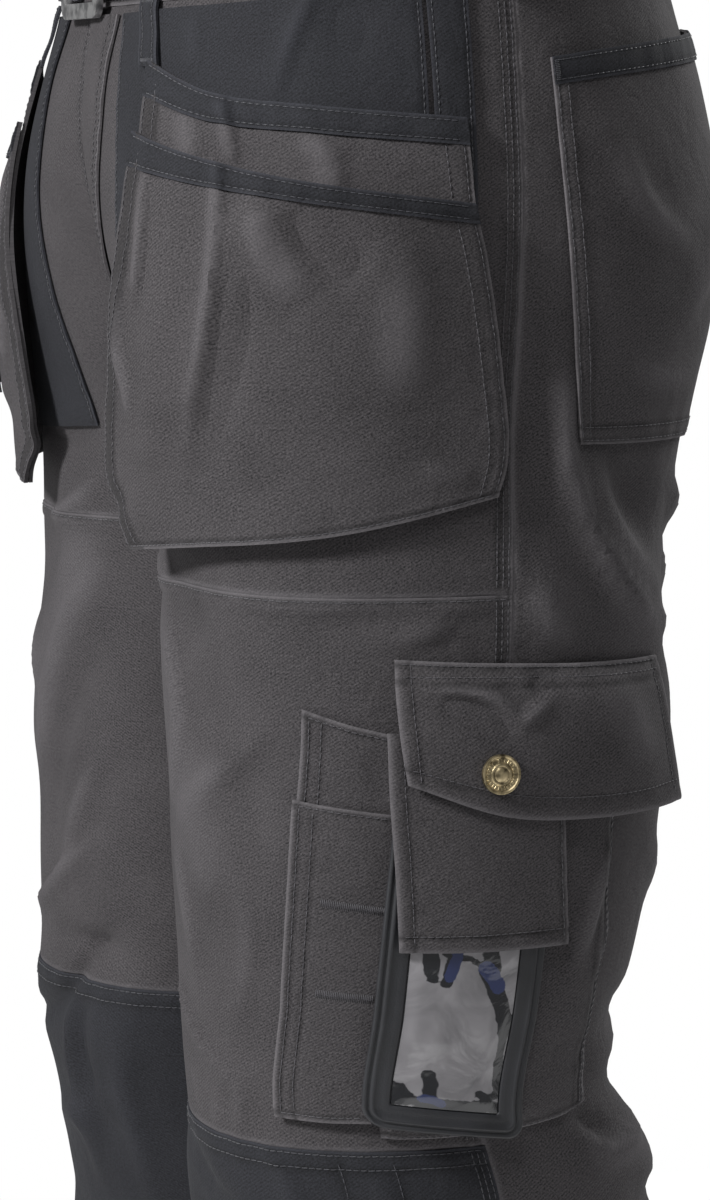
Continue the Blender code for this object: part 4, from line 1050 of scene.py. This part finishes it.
holsterBackCreases = (
    (((-129, -92), (-126, -106), (-124, -124)), 6, 1.8, 0.4),
    (((-150, -96), (-146, -112), (-146, -126)), 9, 1.2, 0.7),
    (((-96, -108), (-84, -120), (-80, -140)), 9, 1.4, 0.6),
)
facingRows = (
    ((-204, -56, rest), (-150, -54, rest), (-92, -51, rest), (-41, -49, rest)),
    ((-206, -120, rest), (-150, -120, rest), (-92, -120, rest), (-41, -120, rest)),
    ((-212, -190, rest), (-156, -190, rest), (-98, -190, rest), (-40, -190, rest)),
    ((-216, -258, rest), (-170, -262, rest), (-120, -264, rest), (-70, -262, rest)),
)
facingWider = {"left": 0.0, "right": 10.0}
facingCreases = (
    (((-84, -48), (-90, -56), (-98, -72), (-108, -96)), 5, 1.3, 0.5),
    (((-72, -50), (-72, -64), (-74, -80)), 9, -1.0, 1.0),
    (((-150, -54), (-146, -66), (-148, -84)), 8, 0.9, 0.6),
)
pocketStripRows = (
    ((-39, -48.6, rest), (-30, -48, rest), (-21, -47.6, rest)),
    ((-38.5, -105, rest), (-30, -105, rest), (-21, -105, rest)),
    ((-38, -160, rest), (-30, -160, rest), (-21, -160, rest)),
)
backPocketRows = (
    ((15, -76, rest), (55, -71, 2.2), (110, -66, 2.6), (168, -62, rest)),
    ((19, -130, rest), (60, -126, 3.2), (112, -122, 3.4), (170, -118, rest)),
    ((26, -188, rest), (66, -186, 3.0), (114, -184, 3.2), (168, -182, rest)),
    ((31, -241, rest), (68, -242, rest), (112, -242, rest), (162, -241, rest)),
)
backPocketCreases = (
    (((44, -108), (62, -140), (92, -160)), 10, 1.3, 0.6),
    (((128, -120), (116, -160), (84, -196)), 12, 1.4, 0.6),
    (((50, -206), (76, -214), (110, -216)), 9, 1.0, 0.7),
)
strapRows = (
    ((-184, -50, 1.8), (-170, -50, 1.8)), ((-184, -56, 2.6), (-170, -56, 2.6)),
    ((-183, -66, 2.8), (-169, -66, 2.8)), ((-182, -74, 3.4), (-168, -74, 3.4)),
    ((-181, -80, 3.6), (-167, -81, 3.6)),
)
bandShare = {"holsterBack": 0.066, "holsterFront": 0.080, "backPocket": 0.073}     # of the piece's height
clear = 0.06              # mm between a piece and what it lies on


def patchSheet(side, name, rows, nodes, material, edges, step=2.2, thick=patchWall, ridges=(), marks=(),
               up=0.0, down=(0.0, 1.0), restsOn=(), bars=(), make=True):
    # a cut piece that lies on a leg, with its sewing; ridges are broad and marks are sharp creases
    rows = np.array(rows, float)
    wide = np.linalg.norm(np.diff(rows[..., :2], axis=1), axis=2).sum(1).mean()
    high = np.linalg.norm(np.diff(rows[..., :2], axis=0), axis=2).sum(0).mean()
    s = spread(wide, step) / wide
    tall = high * (down[1] - down[0])
    t = down[0] + (down[1] - down[0]) * spread(tall, step) / tall
    across = np.array([through(row, s * (len(row) - 1)) for row in rows])
    grid = through(across, t * (len(rows) - 1))
    u, z, out = grid[..., 0], grid[..., 1], grid[..., 2] + up
    for u0, z0, u1, z1, width, lift in ridges:
        du, dz = u1 - u0, z1 - z0
        at = np.clip(((u - u0) * du + (z - z0) * dz) / (du * du + dz * dz), 0, 1)
        out = out + lift * np.exp(-((np.hypot(u - u0 - at * du, z - z0 - at * dz) / width) ** 2))
    lift = np.zeros_like(u)
    for mark in marks:
        lift += creaseLift(u, z, mark)
    shares = (t - down[0]) / (down[1] - down[0])
    title = side.capitalize()
    sheet = Sheet(f"{name}{title}", legs[side], s, shares, u, z, out + clear, thick - clear, edges, lift)
    if make:
        sheet.build(material, [f"{node}_{side}" for node in nodes], "hung", restsOn)
        sew(sheet, f"{name}Sewing{title}", threadFor(material), bars=bars)
    return sheet


# The strip is the darker, doubled fold down the holster's front edge
holsterEdges = {
    "left": {"turned": 12, "rows": (2.0, 10.6), "high": 1.0, "strip": 11.0},
    "bottom": {"turned": 5, "rows": (2.4,), "high": 0.4},
    "right": {"turned": 9, "rows": (2.0, 8.0), "high": 0.7},
}
bandEdges = {"top": {"rows": (1.8,), "roll": 0.5, "wear": 1.0}, "bottom": {"rows": (1.8,), "roll": 0.5}}
pocketSeam = {"turned": 9, "rows": (1.8, 7.6), "high": 0.5}
pocketEdges = {"left": pocketSeam, "bottom": pocketSeam, "right": pocketSeam}
strapSeam = {"rows": (3.0,), "turned": 6, "high": 0.4}


def hipPockets(side):
    title = side.capitalize()
    facing = [[(u - (u < -200) * facingWider[side], z, out) for u, z, out in row] for row in facingRows]
    patchSheet(side, "pocketFacing", facing, ["front_pocket_facing"], blackTwill,
               {"right": {"rows": (2.0,)}, "left": {"rows": (2.0,)}}, 3.0, marks=facingCreases,
               restsOn=[f"frontUpper{title}"])
    patchSheet(side, "pocketStrip", pocketStripRows, ["front_pocket_binding"], blackTwill,
               {"left": {"rows": (2.0,)}, "right": {"rows": (2.0,)}}, 2.6, restsOn=[f"frontUpper{title}"],
               bars=(((0.1, 0.82), (0.9, 0.82), 1.8), ((0.1, 0.93), (0.9, 0.93), 1.8)))
    for layer, ridges, marks, under in (("Back", (), holsterBackCreases, f"frontUpper{title}"),
                                        ("Front", holsterRidges, holsterCreases, f"holsterBack{title}")):
        name, node, rows = f"holster{layer}", f"holster_{layer.lower()}", holsterRows[side + layer]
        patchSheet(side, name, rows, [node], greyTwill, holsterEdges, ridges=ridges, marks=marks,
                   restsOn=[under])
        patchSheet(side, f"{name}Band", rows, [f"{node}_binding"], blackTwill, bandEdges, 2.2, bandWall,
                   ridges=ridges, marks=marks, up=bandUp, down=(0, bandShare[name]),
                   restsOn=[f"{name}{title}"])
    patchSheet(side, "holsterStrap", strapRows, ["holster_strap"], blackTwill,
               {"left": strapSeam, "right": strapSeam}, restsOn=[f"waistband{title}"],
               bars=(((0.15, 0.06), (0.85, 0.06), 2.0), ((0.15, 0.90), (0.85, 0.90), 2.0)))
    patchSheet(side, "backPocket", backPocketRows, ["back_pocket"], greyTwill, pocketEdges, 2.6,
               marks=backPocketCreases, restsOn=[f"backLeg{title}"])
    patchSheet(side, "backPocketBand", backPocketRows, ["back_pocket_binding"], blackTwill, bandEdges,
               2.4, bandWall, up=bandUp, down=(0, bandShare["backPocket"]), restsOn=[f"backPocket{title}"],
               bars=(((0.012, 0.12), (0.012, 0.88), 2.2), ((0.988, 0.12), (0.988, 0.88), 2.2)))


for side in ("left", "right"):
    hipPockets(side)
print("hip pockets made")

# The tool loop on the right holster, and the fly

hammerLook = {"out": (0.35, 9.0, 12.0, 12.5, 12.0, 9.0, 0.35), "span": (0.24, 0.52), "drop": (0.50, 0.70),
              "thick": 1.8}


def hammerLoop():
    front = patchSheet("right", "loopSeat", holsterRows["rightFront"], [], greyTwill, {},
                       ridges=holsterRidges, marks=holsterCreases, make=False)
    s, t = np.linspace(0, 1, 49), np.linspace(0, 1, 15)
    low, high = hammerLook["span"]
    across = low + (high - low) * s + 0.05 * np.sin(s * 2 * math.pi)
    down = hammerLook["drop"][0] + (hammerLook["drop"][1] - hammerLook["drop"][0]) * t
    grid = np.stack(np.meshgrid(across, down), -1)
    u, z, out = front.at(grid.reshape(-1, 2))
    up = through([[v] for v in hammerLook["out"]], s * (len(hammerLook["out"]) - 1))[:, 0]
    shape = grid.shape[:2]
    seam = {"rows": (3.0,), "roll": 0.5, "turned": 5, "high": 0.4}
    inner = out.reshape(shape) + np.repeat(np.maximum(up, 0.2)[None, :], len(t), 0) + 0.1
    sheet = Sheet("hammerLoopRight", legs["right"], s, t, u.reshape(shape), z.reshape(shape), inner,
                  hammerLook["thick"], {"top": seam, "bottom": seam})
    sheet.build(blackTwill, ["hammer_loop_right"], "folded", ["holsterFrontRight"])
    sew(sheet, "hammerLoopSewingRight", blackThread,
        bars=(((0.03, 0.1), (0.03, 0.9), 2.0), ((0.97, 0.1), (0.97, 0.9), 2.0)))


flyLook = {"heights": (-56, -80, -104, -128, -152, -174, -190, -201),
           "wide": (40, 40, 40, 39, 37, 31, 23, 12),
           "out": (rest, rest, rest, rest, rest, 1.0, 1.6, 2.2)}


def flyFacing():
    leg = legs["left"]
    rows = []
    for z, wide, out in zip(flyLook["heights"], flyLook["wide"], flyLook["out"]):
        centre = leg.edge(z, False) + 1.0
        rows.append([(centre + wide * k, z, out) for k in (0, 0.5, 1)])
    patchSheet("left", "fly", rows, ["fly"], greyTwill,
               {"right": {"rows": (2.0, 7.5), "turned": 3, "high": 0.2}, "bottom": {"roll": 0.3},
                "left": {"rows": (1.8,), "roll": 0.5}}, restsOn=["frontUpperLeft"],
               bars=(((0.45, 0.93), (0.75, 0.90), 2.4),))


hammerLoop()
flyFacing()
print("tool loop and fly made")

# The left thigh's pockets

thighBagRows = (
    ((-45, -346, rest), (-33, -346, 5.0), (4, -347, 7.5), (42, -349, 5.0), (56, -350, rest)),
    ((-45, -392, rest), (-33, -392, 7.0), (4, -393, 9.0), (43, -395, 7.5), (56, -396, rest)),
    ((-45, -440, rest), (-33, -440, 7.0), (4, -441, 9.0), (42, -443, 7.5), (55, -444, rest)),
    ((-45, -490, rest), (-33, -490, 7.0), (4, -491, 9.0), (42, -490, 7.0), (55, -489, 1.2)),
    ((-45, -526, rest), (-33, -527, 6.0), (4, -527, 7.0), (42, -524, 5.5), (55, -521, 2.4)),
    ((-45, -539, rest), (-33, -540, rest), (4, -540, rest), (42, -537, 1.4), (55, -533, 2.8)),
)
thighFlapRows = (
    ((-52, -330, rest), (-8, -333, rest), (34, -335, rest), (79, -336, rest)),
    ((-52, -344, 10.5), (-8, -347, 12.0), (34, -349, 11.5), (80, -350, 5.0)),
    ((-50, -364, 17.4), (-8, -368, 18.4), (34, -372, 16.8), (84, -372, 9.0)),
    ((-47, -381, 18.8), (-8, -396, 19.4), (34, -400, 17.6), (90, -400, 13.0)),
)
idCoverRows = (
    ((-55, -360, 11.2), (-19, -362, 11.8), (17, -364, 10.6)),
    ((-53, -389, 15.0), (-17, -389, 15.6), (19, -391, 14.7)),
    ((-49, -421, 15.2), (-14, -421, 15.8), (22, -421, 15.2)),
    ((-45, -454, 15.2), (-10, -455, 15.8), (26, -455, 15.2)),
)
idPlateRows = (
    ((-51, -396, 11.4), (-17, -397, 11.9), (17, -399, 11.4)),
    ((-52, -440, 11.4), (-17, -443, 11.9), (17, -446, 11.4)),
    ((-52, -484, 11.2), (-17, -489, 11.5), (16, -494, 11.2)),
    ((-51, -530, 10.8), (-18, -536, 11.0), (14, -542, 10.8)),
)
toolBackRows = (
    ((-91, -352, rest), (-71, -358, rest), (-50, -363, rest)),
    ((-92, -440, rest), (-71, -442, rest), (-50, -444, rest)),
    ((-88, -528, rest), (-69, -529, rest), (-49, -529, rest)),
)
toolFrontRows = (
    ((-93, -391, 2.9), (-71, -394, 3.6), (-49, -397, 2.9)),
    ((-92, -460, 2.9), (-71, -461, 3.4), (-49, -462, 2.9)),
    ((-89, -531, 2.9), (-69, -532, 2.9), (-48, -532, 2.9)),
)
flapCreases = (
    (((-36, -340), (-26, -342), (-12, -346), (0, -355)), 3.6, 2.0, 0.6),
    (((-1, -356), (2, -354), (8, -350), (20, -343)), 3.6, 1.2, 0.8),
    (((-36, -347), (-20, -352), (-5, -366)), 6, -1.7, 1.0),
    (((4, -346), (14, -342), (24, -340)), 6, -1.2, 1.0),
    (((40, -344), (52, -360), (60, -384)), 14, 1.2, 0.8),
)
bagCreases = (
    (((50, -418), (42, -440), (34, -472)), 6, 1.8, 0.6),
    (((54, -440), (52, -456), (48, -474)), 5, 1.5, 0.6),
    (((30, -500), (40, -508), (52, -508)), 7, -1.4, 0.9),
    (((30, -410), (28, -450), (24, -490)), 8, -1.0, 0.9),
)
toolCreases = ((((-62, -368), (-56, -384), (-52, -392)), 6, -0.6, 1.0),)


def thighPockets():
    side = "left"
    patchSheet(side, "toolPocketBack", toolBackRows, ["tool_pocket_back"], greyTwill,
               {"left": {"turned": 3, "rows": (3.6, 9.4), "high": 0.5},
                "top": {"turned": 2.5, "rows": (2.6,), "high": 0.4}},
               2.0, marks=toolCreases, restsOn=["frontThighLeft"])
    patchSheet(side, "toolPocketFront", toolFrontRows, ["tool_pocket_front"], greyTwill,
               {"left": {"turned": 2.6, "rows": (3.4, 9.4), "high": 0.6},
                "top": {"turned": 8, "rows": (2.0,), "high": 0.4},
                "bottom": {"turned": 4, "rows": (2.4,), "high": 0.3}}, 2.0, restsOn=["toolPocketBackLeft"],
               bars=(((0.34, 0.31), (0.97, 0.325), 3.6), ((0.36, 0.60), (0.92, 0.61), 3.6)))
    patchSheet(side, "thighBag", thighBagRows, ["thigh_bag"], greyTwill,
               {"right": {"rows": (5.0, 9.0), "turned": 3.5, "high": 0.4},
                "bottom": {"rows": (2.6,), "turned": 4, "high": 0.4}},
               2.2, marks=bagCreases, restsOn=["frontThighLeft", "backLegLeft"])
    patchSheet(side, "idCover", idCoverRows, ["id_cover"], greyTwill,
               {"left": {"turned": 6.4, "rows": (6.0,), "high": 0.4},
                "right": {"turned": 6.4, "rows": (2.0,), "high": 0.4},
                "bottom": {"turned": 7.0, "rows": (6.6,), "high": 0.4}}, 2.0, 1.6, restsOn=["thighBagLeft"],
               marks=((((6, -366), (10, -382), (16, -396)), 6, 1.2, 0.6),))
    patchSheet(side, "thighFlap", thighFlapRows, ["thigh_flap"], greyTwill,
               {"left": {"turned": 7, "rows": (6.4,), "high": 0.45},
                "right": {"turned": 7, "rows": (6.4,), "high": 0.45},
                "bottom": {"turned": 8, "rows": (7.2,), "high": 0.45},
                "top": {"turned": 9, "rows": (2.0, 8.4), "high": 0.4}},
               2.0, 1.6, marks=flapCreases, restsOn=["thighBagLeft", "idCoverLeft"])


thighPockets()

idLook = {
    "wide": 68.0, "high": 139.0, "corner": 9.0, "gap": 0.3,
    "backWall": 0.8, "rimWall": 1.9, "rimWide": 11.0, "windowWall": 0.7,
    "tightest": 1.5,          # the smallest corner inside the rim
    "seenHigh": 82.0,         # mm of the window that show below the cover
}
idSize = np.array([idLook["wide"], idLook["high"]])
rimLow = idLook["backWall"] + idLook["gap"]
rimHigh = rimLow + idLook["rimWall"]


def roundedLoop(corner, perCorner):
    # the plate's rounded outline as shares across and down, with a point at least every 4 mm
    loop = []
    w, h = idSize / 2
    for k, (sx, sy) in enumerate(((1, 1), (-1, 1), (-1, -1), (1, -1))):
        for i in range(perCorner + 1):
            a = math.pi / 2 * (k + i / perCorner)
            x = sx * (w - corner) + corner * math.cos(a)
            y = sy * (h - corner) + corner * math.sin(a)
            loop.append((0.5 + x / idLook["wide"], 0.5 + y / idLook["high"]))
    dense = []
    for a, b in zip(np.array(loop), np.roll(np.array(loop), -1, axis=0)):
        count = max(1, round(np.linalg.norm((b - a) * idSize) / 4.0))
        dense += [a + (b - a) * i / count for i in range(count)]
    return np.array(dense)


def plateGrid(plate, s, t):
    grid = np.stack(np.meshgrid(s, t), -1)
    return (v.reshape(grid.shape[:2]) for v in plate.at(grid.reshape(-1, 2)))


def idBack(plate):
    s, t = np.linspace(0.03, 0.97, 25), np.linspace(0.02, 0.98, 45)
    u, z, out = plateGrid(plate, s, t)
    back = Sheet("idBackLeft", plate.leg, s, t, u, z, out, idLook["backWall"], {})
    back.build(blackVinyl, ["id_back_left"])
    del sheets["idBackLeft"]      # moulded, so it isn't kept among the cloth sheets


def idRim(plate):
    # outer bead, groove, second bead and a flat frame, from inset and height
    low, high = rimLow, rimHigh
    profile = ((0.0, low), (-0.1, low + 0.9), (0.3, high - 0.3), (1.0, high + 0.15), (1.8, high - 0.2),
               (2.3, high - 0.9), (2.9, high - 0.9), (3.4, high - 0.1), (4.1, high + 0.1), (4.8, high - 0.2),
               (5.2, high - 0.6), (8.0, high - 0.65), (10.2, high - 0.6), (10.7, high - 0.9),
               (10.9, low + 0.4), (10.9, low))
    corner, tightest = idLook["corner"], idLook["tightest"]
    middle = (roundedLoop(corner, 8) - 0.5) * idSize
    limits = np.array([idLook["wide"] / 2 - corner, idLook["high"] / 2 - corner])
    core = np.clip(middle, -limits, limits)
    ray = middle - core
    size = np.linalg.norm(ray, axis=1, keepdims=True) + 1e-9
    rings = []
    for inset, up in profile:
        if inset <= corner - tightest:
            moved = core + ray / size * (size - inset)
        else:
            tight = limits - (inset - (corner - tightest))
            moved = np.clip(middle, -tight, tight) + ray / size * tightest
        u, z, out = plate.at(np.clip(0.5 + moved / idSize, 0.0, 1.0))
        rings.append(plate.leg.place(u, z, out + up))
    count = len(rings[0])
    faces = []
    for k in range(len(rings)):
        a, b = k * count, (k + 1) % len(rings) * count
        faces += [(a + i, a + (i + 1) % count, b + (i + 1) % count, b + i) for i in range(count)]
    rim = meshObject("idRimLeft", np.concatenate(rings), faces, blackVinyl, angle=60)
    outward(rim)
    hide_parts("id_rim_left")


def idWindow(plate):
    # a thin film that lies in soft waves, flat where the rim holds it
    pad = idLook["rimWide"] + 0.35
    sIn, tIn = pad / idLook["wide"], pad / idLook["high"]
    s, t = np.linspace(sIn, 1 - sIn, 41), np.linspace(tIn, 1 - tIn, 81)
    u, z, out = plateGrid(plate, s, t)
    waves = 0.32 * np.sin(u / 5.5 + 1.8 * np.sin(z / 15)) * np.sin(z / 11 + u / 21)
    waves = waves + 0.25 * np.sin(z / 6 + 1.3)
    fromSides = np.minimum(s - sIn, 1 - sIn - s)[None, :] * idLook["wide"]
    middle = np.minimum(fromSides, np.minimum(t - tIn, 1 - tIn - t)[:, None] * idLook["high"])
    window = Sheet("idWindowLeft", plate.leg, s, t, u, z, out + rimLow + 0.02, idLook["windowWall"], {},
                   waves * smooth(middle / 6) + 0.35 * smooth(middle / 5))
    across = (s - sIn)[None, :] / (1 - 2 * sIn) + 0 * t[:, None]
    below = (1 - tIn - t[:, None]) * idLook["high"] / idLook["seenHigh"]
    seen = across, 1 - np.clip(below, 0, 1) + 0 * s
    # the film's painted dark and blue reflections
    window.extra = {key: blotField(*seen, blots) for key, blots in paintedWindowReflections.items()}
    window.build(filmLook, ["id_window_left"])
    del sheets["idWindowLeft"]


def idHolder():
    plate = patchSheet("left", "idSeat", idPlateRows, [], blackTwill, {}, 2.0, clear, make=False)
    idBack(plate)
    idRim(plate)
    idWindow(plate)


def selectOnly(obj):
    bpy.ops.object.select_all(action="DESELECT")
    obj.select_set(True)
    bpy.context.view_layer.objects.active = obj


def outward(obj):
    selectOnly(obj)
    bpy.ops.object.mode_set(mode="EDIT")
    bpy.ops.mesh.select_all(action="SELECT")
    bpy.ops.mesh.normals_make_consistent(inside=False)
    bpy.ops.object.mode_set(mode="OBJECT")


idHolder()
print("thigh pockets made")

# Metal pieces, modelled from primitives

buttonLook = {
    "at": (0.305, 0.79), "radius": 8.6, "high": 2.2, "bevel": 0.22,
    # rim, groove for the ring of marks, inner ring and a domed middle: each an inset, then a move outward
    "steps": ((0.9, 0.0), (0.5, -0.55), (2.3, 0.0), (0.4, 0.5), (0.8, 0.0), (0.35, -0.35), (0.5, 0.45),
              (1.2, 0.35)),
    "marks": 26, "markSize": (1.5, 0.5), "markWide": (0.9, 0.6), "markRound": 6.05, "markSunk": 0.36,
}
buckleLook = {"wide": 58.0, "high": 50.0, "bar": 7.0, "thick": 3.2, "corner": 7.0, "bevel": 1.1,
              "pin": 1.5, "pinShort": 6.0, "pinBevel": 0.4, "pinTip": 0.6}


def startPiece(name):
    made = bpy.context.object
    made.name = made.data.name = name
    return made


def onlyFaces(obj, test):
    # leaves the piece in edit mode with just the faces that pass a test of their middle and normal
    bpy.ops.object.mode_set(mode="EDIT")
    bpy.ops.mesh.select_mode(type="FACE")
    bpy.ops.mesh.select_all(action="DESELECT")
    bpy.ops.object.mode_set(mode="OBJECT")
    for face in obj.data.polygons:
        face.select = bool(test(face.center, face.normal))
    bpy.ops.object.mode_set(mode="EDIT")


def applyModifiers(obj):
    selectOnly(obj)
    for modifier in list(obj.modifiers):
        bpy.ops.object.modifier_apply(modifier=modifier.name)


def placePiece(obj, matrix):
    # puts a finished piece where it belongs, with its place in its mesh
    obj.data.transform(matrix)
    obj.data.update()
    selectOnly(obj)
    bpy.ops.object.shade_smooth_by_angle(angle=math.radians(35))


def bevelPiece(obj, width, segments=3):
    bevel = obj.modifiers.new("softEdges", "BEVEL")
    bevel.width, bevel.segments, bevel.limit_method = width, segments, "ANGLE"
    bevel.angle_limit = math.radians(35)
    applyModifiers(obj)


def finishMetal(obj, material, node):
    obj.data.materials.clear()
    obj.data.materials.append(material)
    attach(obj, "root")
    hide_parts(node)


def shankButton():
    flap = sheets["thighFlapLeft"]
    at = np.array([buttonLook["at"]])
    seat = flap.leg.place(*[v for v in flap.at(at)])[0]
    away = flap.leg.place(*[v for v in flap.at(at, 4.0)])[0] - seat
    ahead = (np.array([0.05, 0.0]), np.array([0.0, 0.09]))
    ds, dt = (flap.leg.place(*flap.at(at + a))[0] - flap.leg.place(*flap.at(at - a))[0] for a in ahead)
    x = ds / np.linalg.norm(ds)
    normal = np.cross(dt, x)
    normal *= np.sign(np.dot(normal, away)) / np.linalg.norm(normal)
    y = np.cross(normal, x)
    base = seat + normal * 0.3 * mm
    matrix = Matrix([[x[i], y[i], normal[i], base[i]] for i in range(3)] + [[0, 0, 0, 1]])
    bpy.ops.object.select_all(action="DESELECT")
    radius, high = buttonLook["radius"] * mm, buttonLook["high"] * mm
    bpy.ops.mesh.primitive_cylinder_add(vertices=64, radius=radius, depth=high, location=(0, 0, high / 2))
    button = startPiece("shankButtonLeft")
    bpy.ops.object.transform_apply(location=True, rotation=True, scale=True)
    for inset, move in buttonLook["steps"]:
        onlyFaces(button, lambda c, n: n.z > 0.95 and c.x ** 2 + c.y ** 2 < (1.0 * mm) ** 2)
        bpy.ops.mesh.inset(thickness=inset * mm, depth=0)
        bpy.ops.transform.translate(value=(0, 0, move * mm))
        bpy.ops.object.mode_set(mode="OBJECT")
    bevelPiece(button, buttonLook["bevel"] * mm, 2)
    parts = [button]
    long, tall = buttonLook["markSize"]
    out = Matrix.Translation((buttonLook["markRound"] * mm, 0, high - buttonLook["markSunk"] * mm))
    for k in range(buttonLook["marks"]):
        turn = 2 * math.pi * k / buttonLook["marks"]
        bpy.ops.mesh.primitive_cube_add(size=1, location=(0, 0, 0))
        mark = startPiece(f"mark{k}")
        mark.data.transform(Matrix.Diagonal((long * mm, buttonLook["markWide"][k % 2] * mm, tall * mm, 1)))
        bevelPiece(mark, 0.12 * mm, 1)
        mark.data.transform(Matrix.Rotation(turn, 4, "Z") @ out)
        parts.append(mark)
    bpy.ops.object.select_all(action="DESELECT")
    for part in parts:
        part.select_set(True)
    bpy.context.view_layer.objects.active = button
    bpy.ops.object.join()
    placePiece(button, matrix)
    finishMetal(button, oldBrass, "flap_button_left")


def frameBuckle():
    low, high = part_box("buckle_frame")
    face, middle = high[1], (low[2] + high[2]) / 2
    wide, tall, bar, thick = (buckleLook[k] * mm for k in ("wide", "high", "bar", "thick"))
    bpy.ops.object.select_all(action="DESELECT")
    bpy.ops.mesh.primitive_plane_add(size=1, location=(0, 0, 0))
    buckle = startPiece("frameBuckle")
    buckle.data.transform(Matrix.Diagonal((wide, tall, 1, 1)))
    bpy.ops.object.mode_set(mode="EDIT")
    bpy.ops.mesh.select_all(action="SELECT")
    bpy.ops.mesh.bevel(offset=buckleLook["corner"] * mm, segments=6, affect="VERTICES")
    bpy.ops.mesh.select_all(action="SELECT")
    bpy.ops.mesh.inset(thickness=bar, depth=0)
    onlyFaces(buckle, lambda c, n: abs(c.x) < wide * 0.2 and abs(c.y) < tall * 0.2)
    bpy.ops.mesh.delete(type="FACE")
    bpy.ops.mesh.select_all(action="SELECT")
    bpy.ops.mesh.extrude_region_move(TRANSFORM_OT_translate={"value": (0, 0, thick)})
    bpy.ops.mesh.select_all(action="SELECT")
    bpy.ops.mesh.normals_make_consistent(inside=False)
    bpy.ops.object.mode_set(mode="OBJECT")
    bevelPiece(buckle, buckleLook["bevel"] * mm, 4)
    stand = Matrix.Translation((0, face, middle)) @ Matrix.Rotation(math.radians(90), 4, "X")
    placePiece(buckle, stand)
    return buckle


def bucklePin():
    wide = buckleLook["wide"] * mm
    bpy.ops.object.select_all(action="DESELECT")
    bpy.ops.mesh.primitive_cylinder_add(vertices=24, radius=buckleLook["pin"] * mm,
                                        depth=wide - buckleLook["pinShort"] * mm, location=(0, 0, 0))
    prong = startPiece("bucklePin")
    bpy.ops.object.mode_set(mode="EDIT")
    bpy.ops.mesh.select_all(action="SELECT")
    bpy.ops.mesh.bisect(plane_co=(0, 0, wide * 0.38), plane_no=(0, 0, 1))
    onlyFaces(prong, lambda c, n: n.z > 0.9)
    bpy.ops.transform.resize(value=(buckleLook["pinTip"], buckleLook["pinTip"], 1))
    bpy.ops.object.mode_set(mode="OBJECT")
    bevelPiece(prong, buckleLook["pinBevel"] * mm, 3)
    lie = Matrix.Translation([(a + b) / 2 for a, b in zip(*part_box("buckle_prong"))])
    placePiece(prong, lie @ Matrix.Rotation(math.radians(90), 4, "Y"))
    return prong


shankButton()
buckle, prong = frameBuckle(), bucklePin()
finishMetal(buckle, buckleSteel, "buckle_frame")
finishMetal(prong, buckleSteel, "buckle_prong")
print("metal pieces made")

# Each sheet is kept with its flat cut and its sewing
print("sheets declared:", len(sheets))

# Floor, lights and a white room

lightLook = {
    "front": {"at": (0.55, -2.2, 1.1), "size": 0.45, "power": 104.0},
    "side": {"at": (1.9, -0.9, 1.9), "size": 0.6, "power": 20.0},
    "behind": {"at": (-0.9, 2.3, 1.3), "size": 1.4, "power": 60.0},
}
roomLook = {"aim": (0, 0, -0.35), "floorWide": 2.9, "floorDrop": 0.004, "ambient": 0.26}


def areaLight(name, look):
    data = bpy.data.lights.new(name, "AREA")
    data.size, data.energy = look["size"], look["power"]
    made = bpy.data.objects.new(name, data)
    made.location = look["at"]
    aim = Vector(roomLook["aim"]) - Vector(look["at"])
    made.rotation_mode = "QUATERNION"
    made.rotation_quaternion = aim.to_track_quat("-Z", "Y")
    bpy.context.scene.collection.objects.link(made)


def mattPaint():
    # white emulsion paint, rolled: no shine, and barely cloudy where the coats overlap
    made, tree, shader = newMaterial("matWhitePaint")
    coords = addNode(tree, "ShaderNodeTexCoord").outputs["Object"]
    colour = mixColours(tree, "f4f4f4", "fbfbfb", noise(tree, coords, {"Scale": 3.0}))
    tree.links.new(colour.outputs[2], shader.inputs["Base Color"])
    setShader(shader, {"Roughness": 0.9, "Specular IOR Level": 0.1})
    return made


def paleFloor():
    bpy.ops.object.select_all(action="DESELECT")
    at = (0, 0, cadLow[2] - roomLook["floorDrop"])
    bpy.ops.mesh.primitive_plane_add(size=roomLook["floorWide"], location=at)
    floor = startPiece("paleFloor")
    floor.data.materials.append(mattPaint())


def whiteRoom():
    # white to the camera, and dimmer as a light so that the folds keep their shade
    world = bpy.data.worlds.new("whiteRoom")
    world.use_nodes = True
    tree = world.node_tree
    seen = tree.nodes["Background"]
    seen.inputs["Color"].default_value = (1, 1, 1, 1)
    dim = addNode(tree, "ShaderNodeBackground", {"Color": (1, 1, 1, 1), "Strength": roomLook["ambient"]})
    direct = addNode(tree, "ShaderNodeLightPath").outputs["Is Camera Ray"]
    either = addNode(tree, "ShaderNodeMixShader", {}, {0: direct, 1: dim.outputs[0], 2: seen.outputs[0]})
    tree.links.new(either.outputs[0], tree.nodes["World Output"].inputs["Surface"])
    bpy.context.scene.world = world


for name, look in lightLook.items():
    areaLight(f"{name}Light", look)
paleFloor()
whiteRoom()
bpy.context.scene.view_settings.view_transform = "Standard"
print("floor, lights and room made")
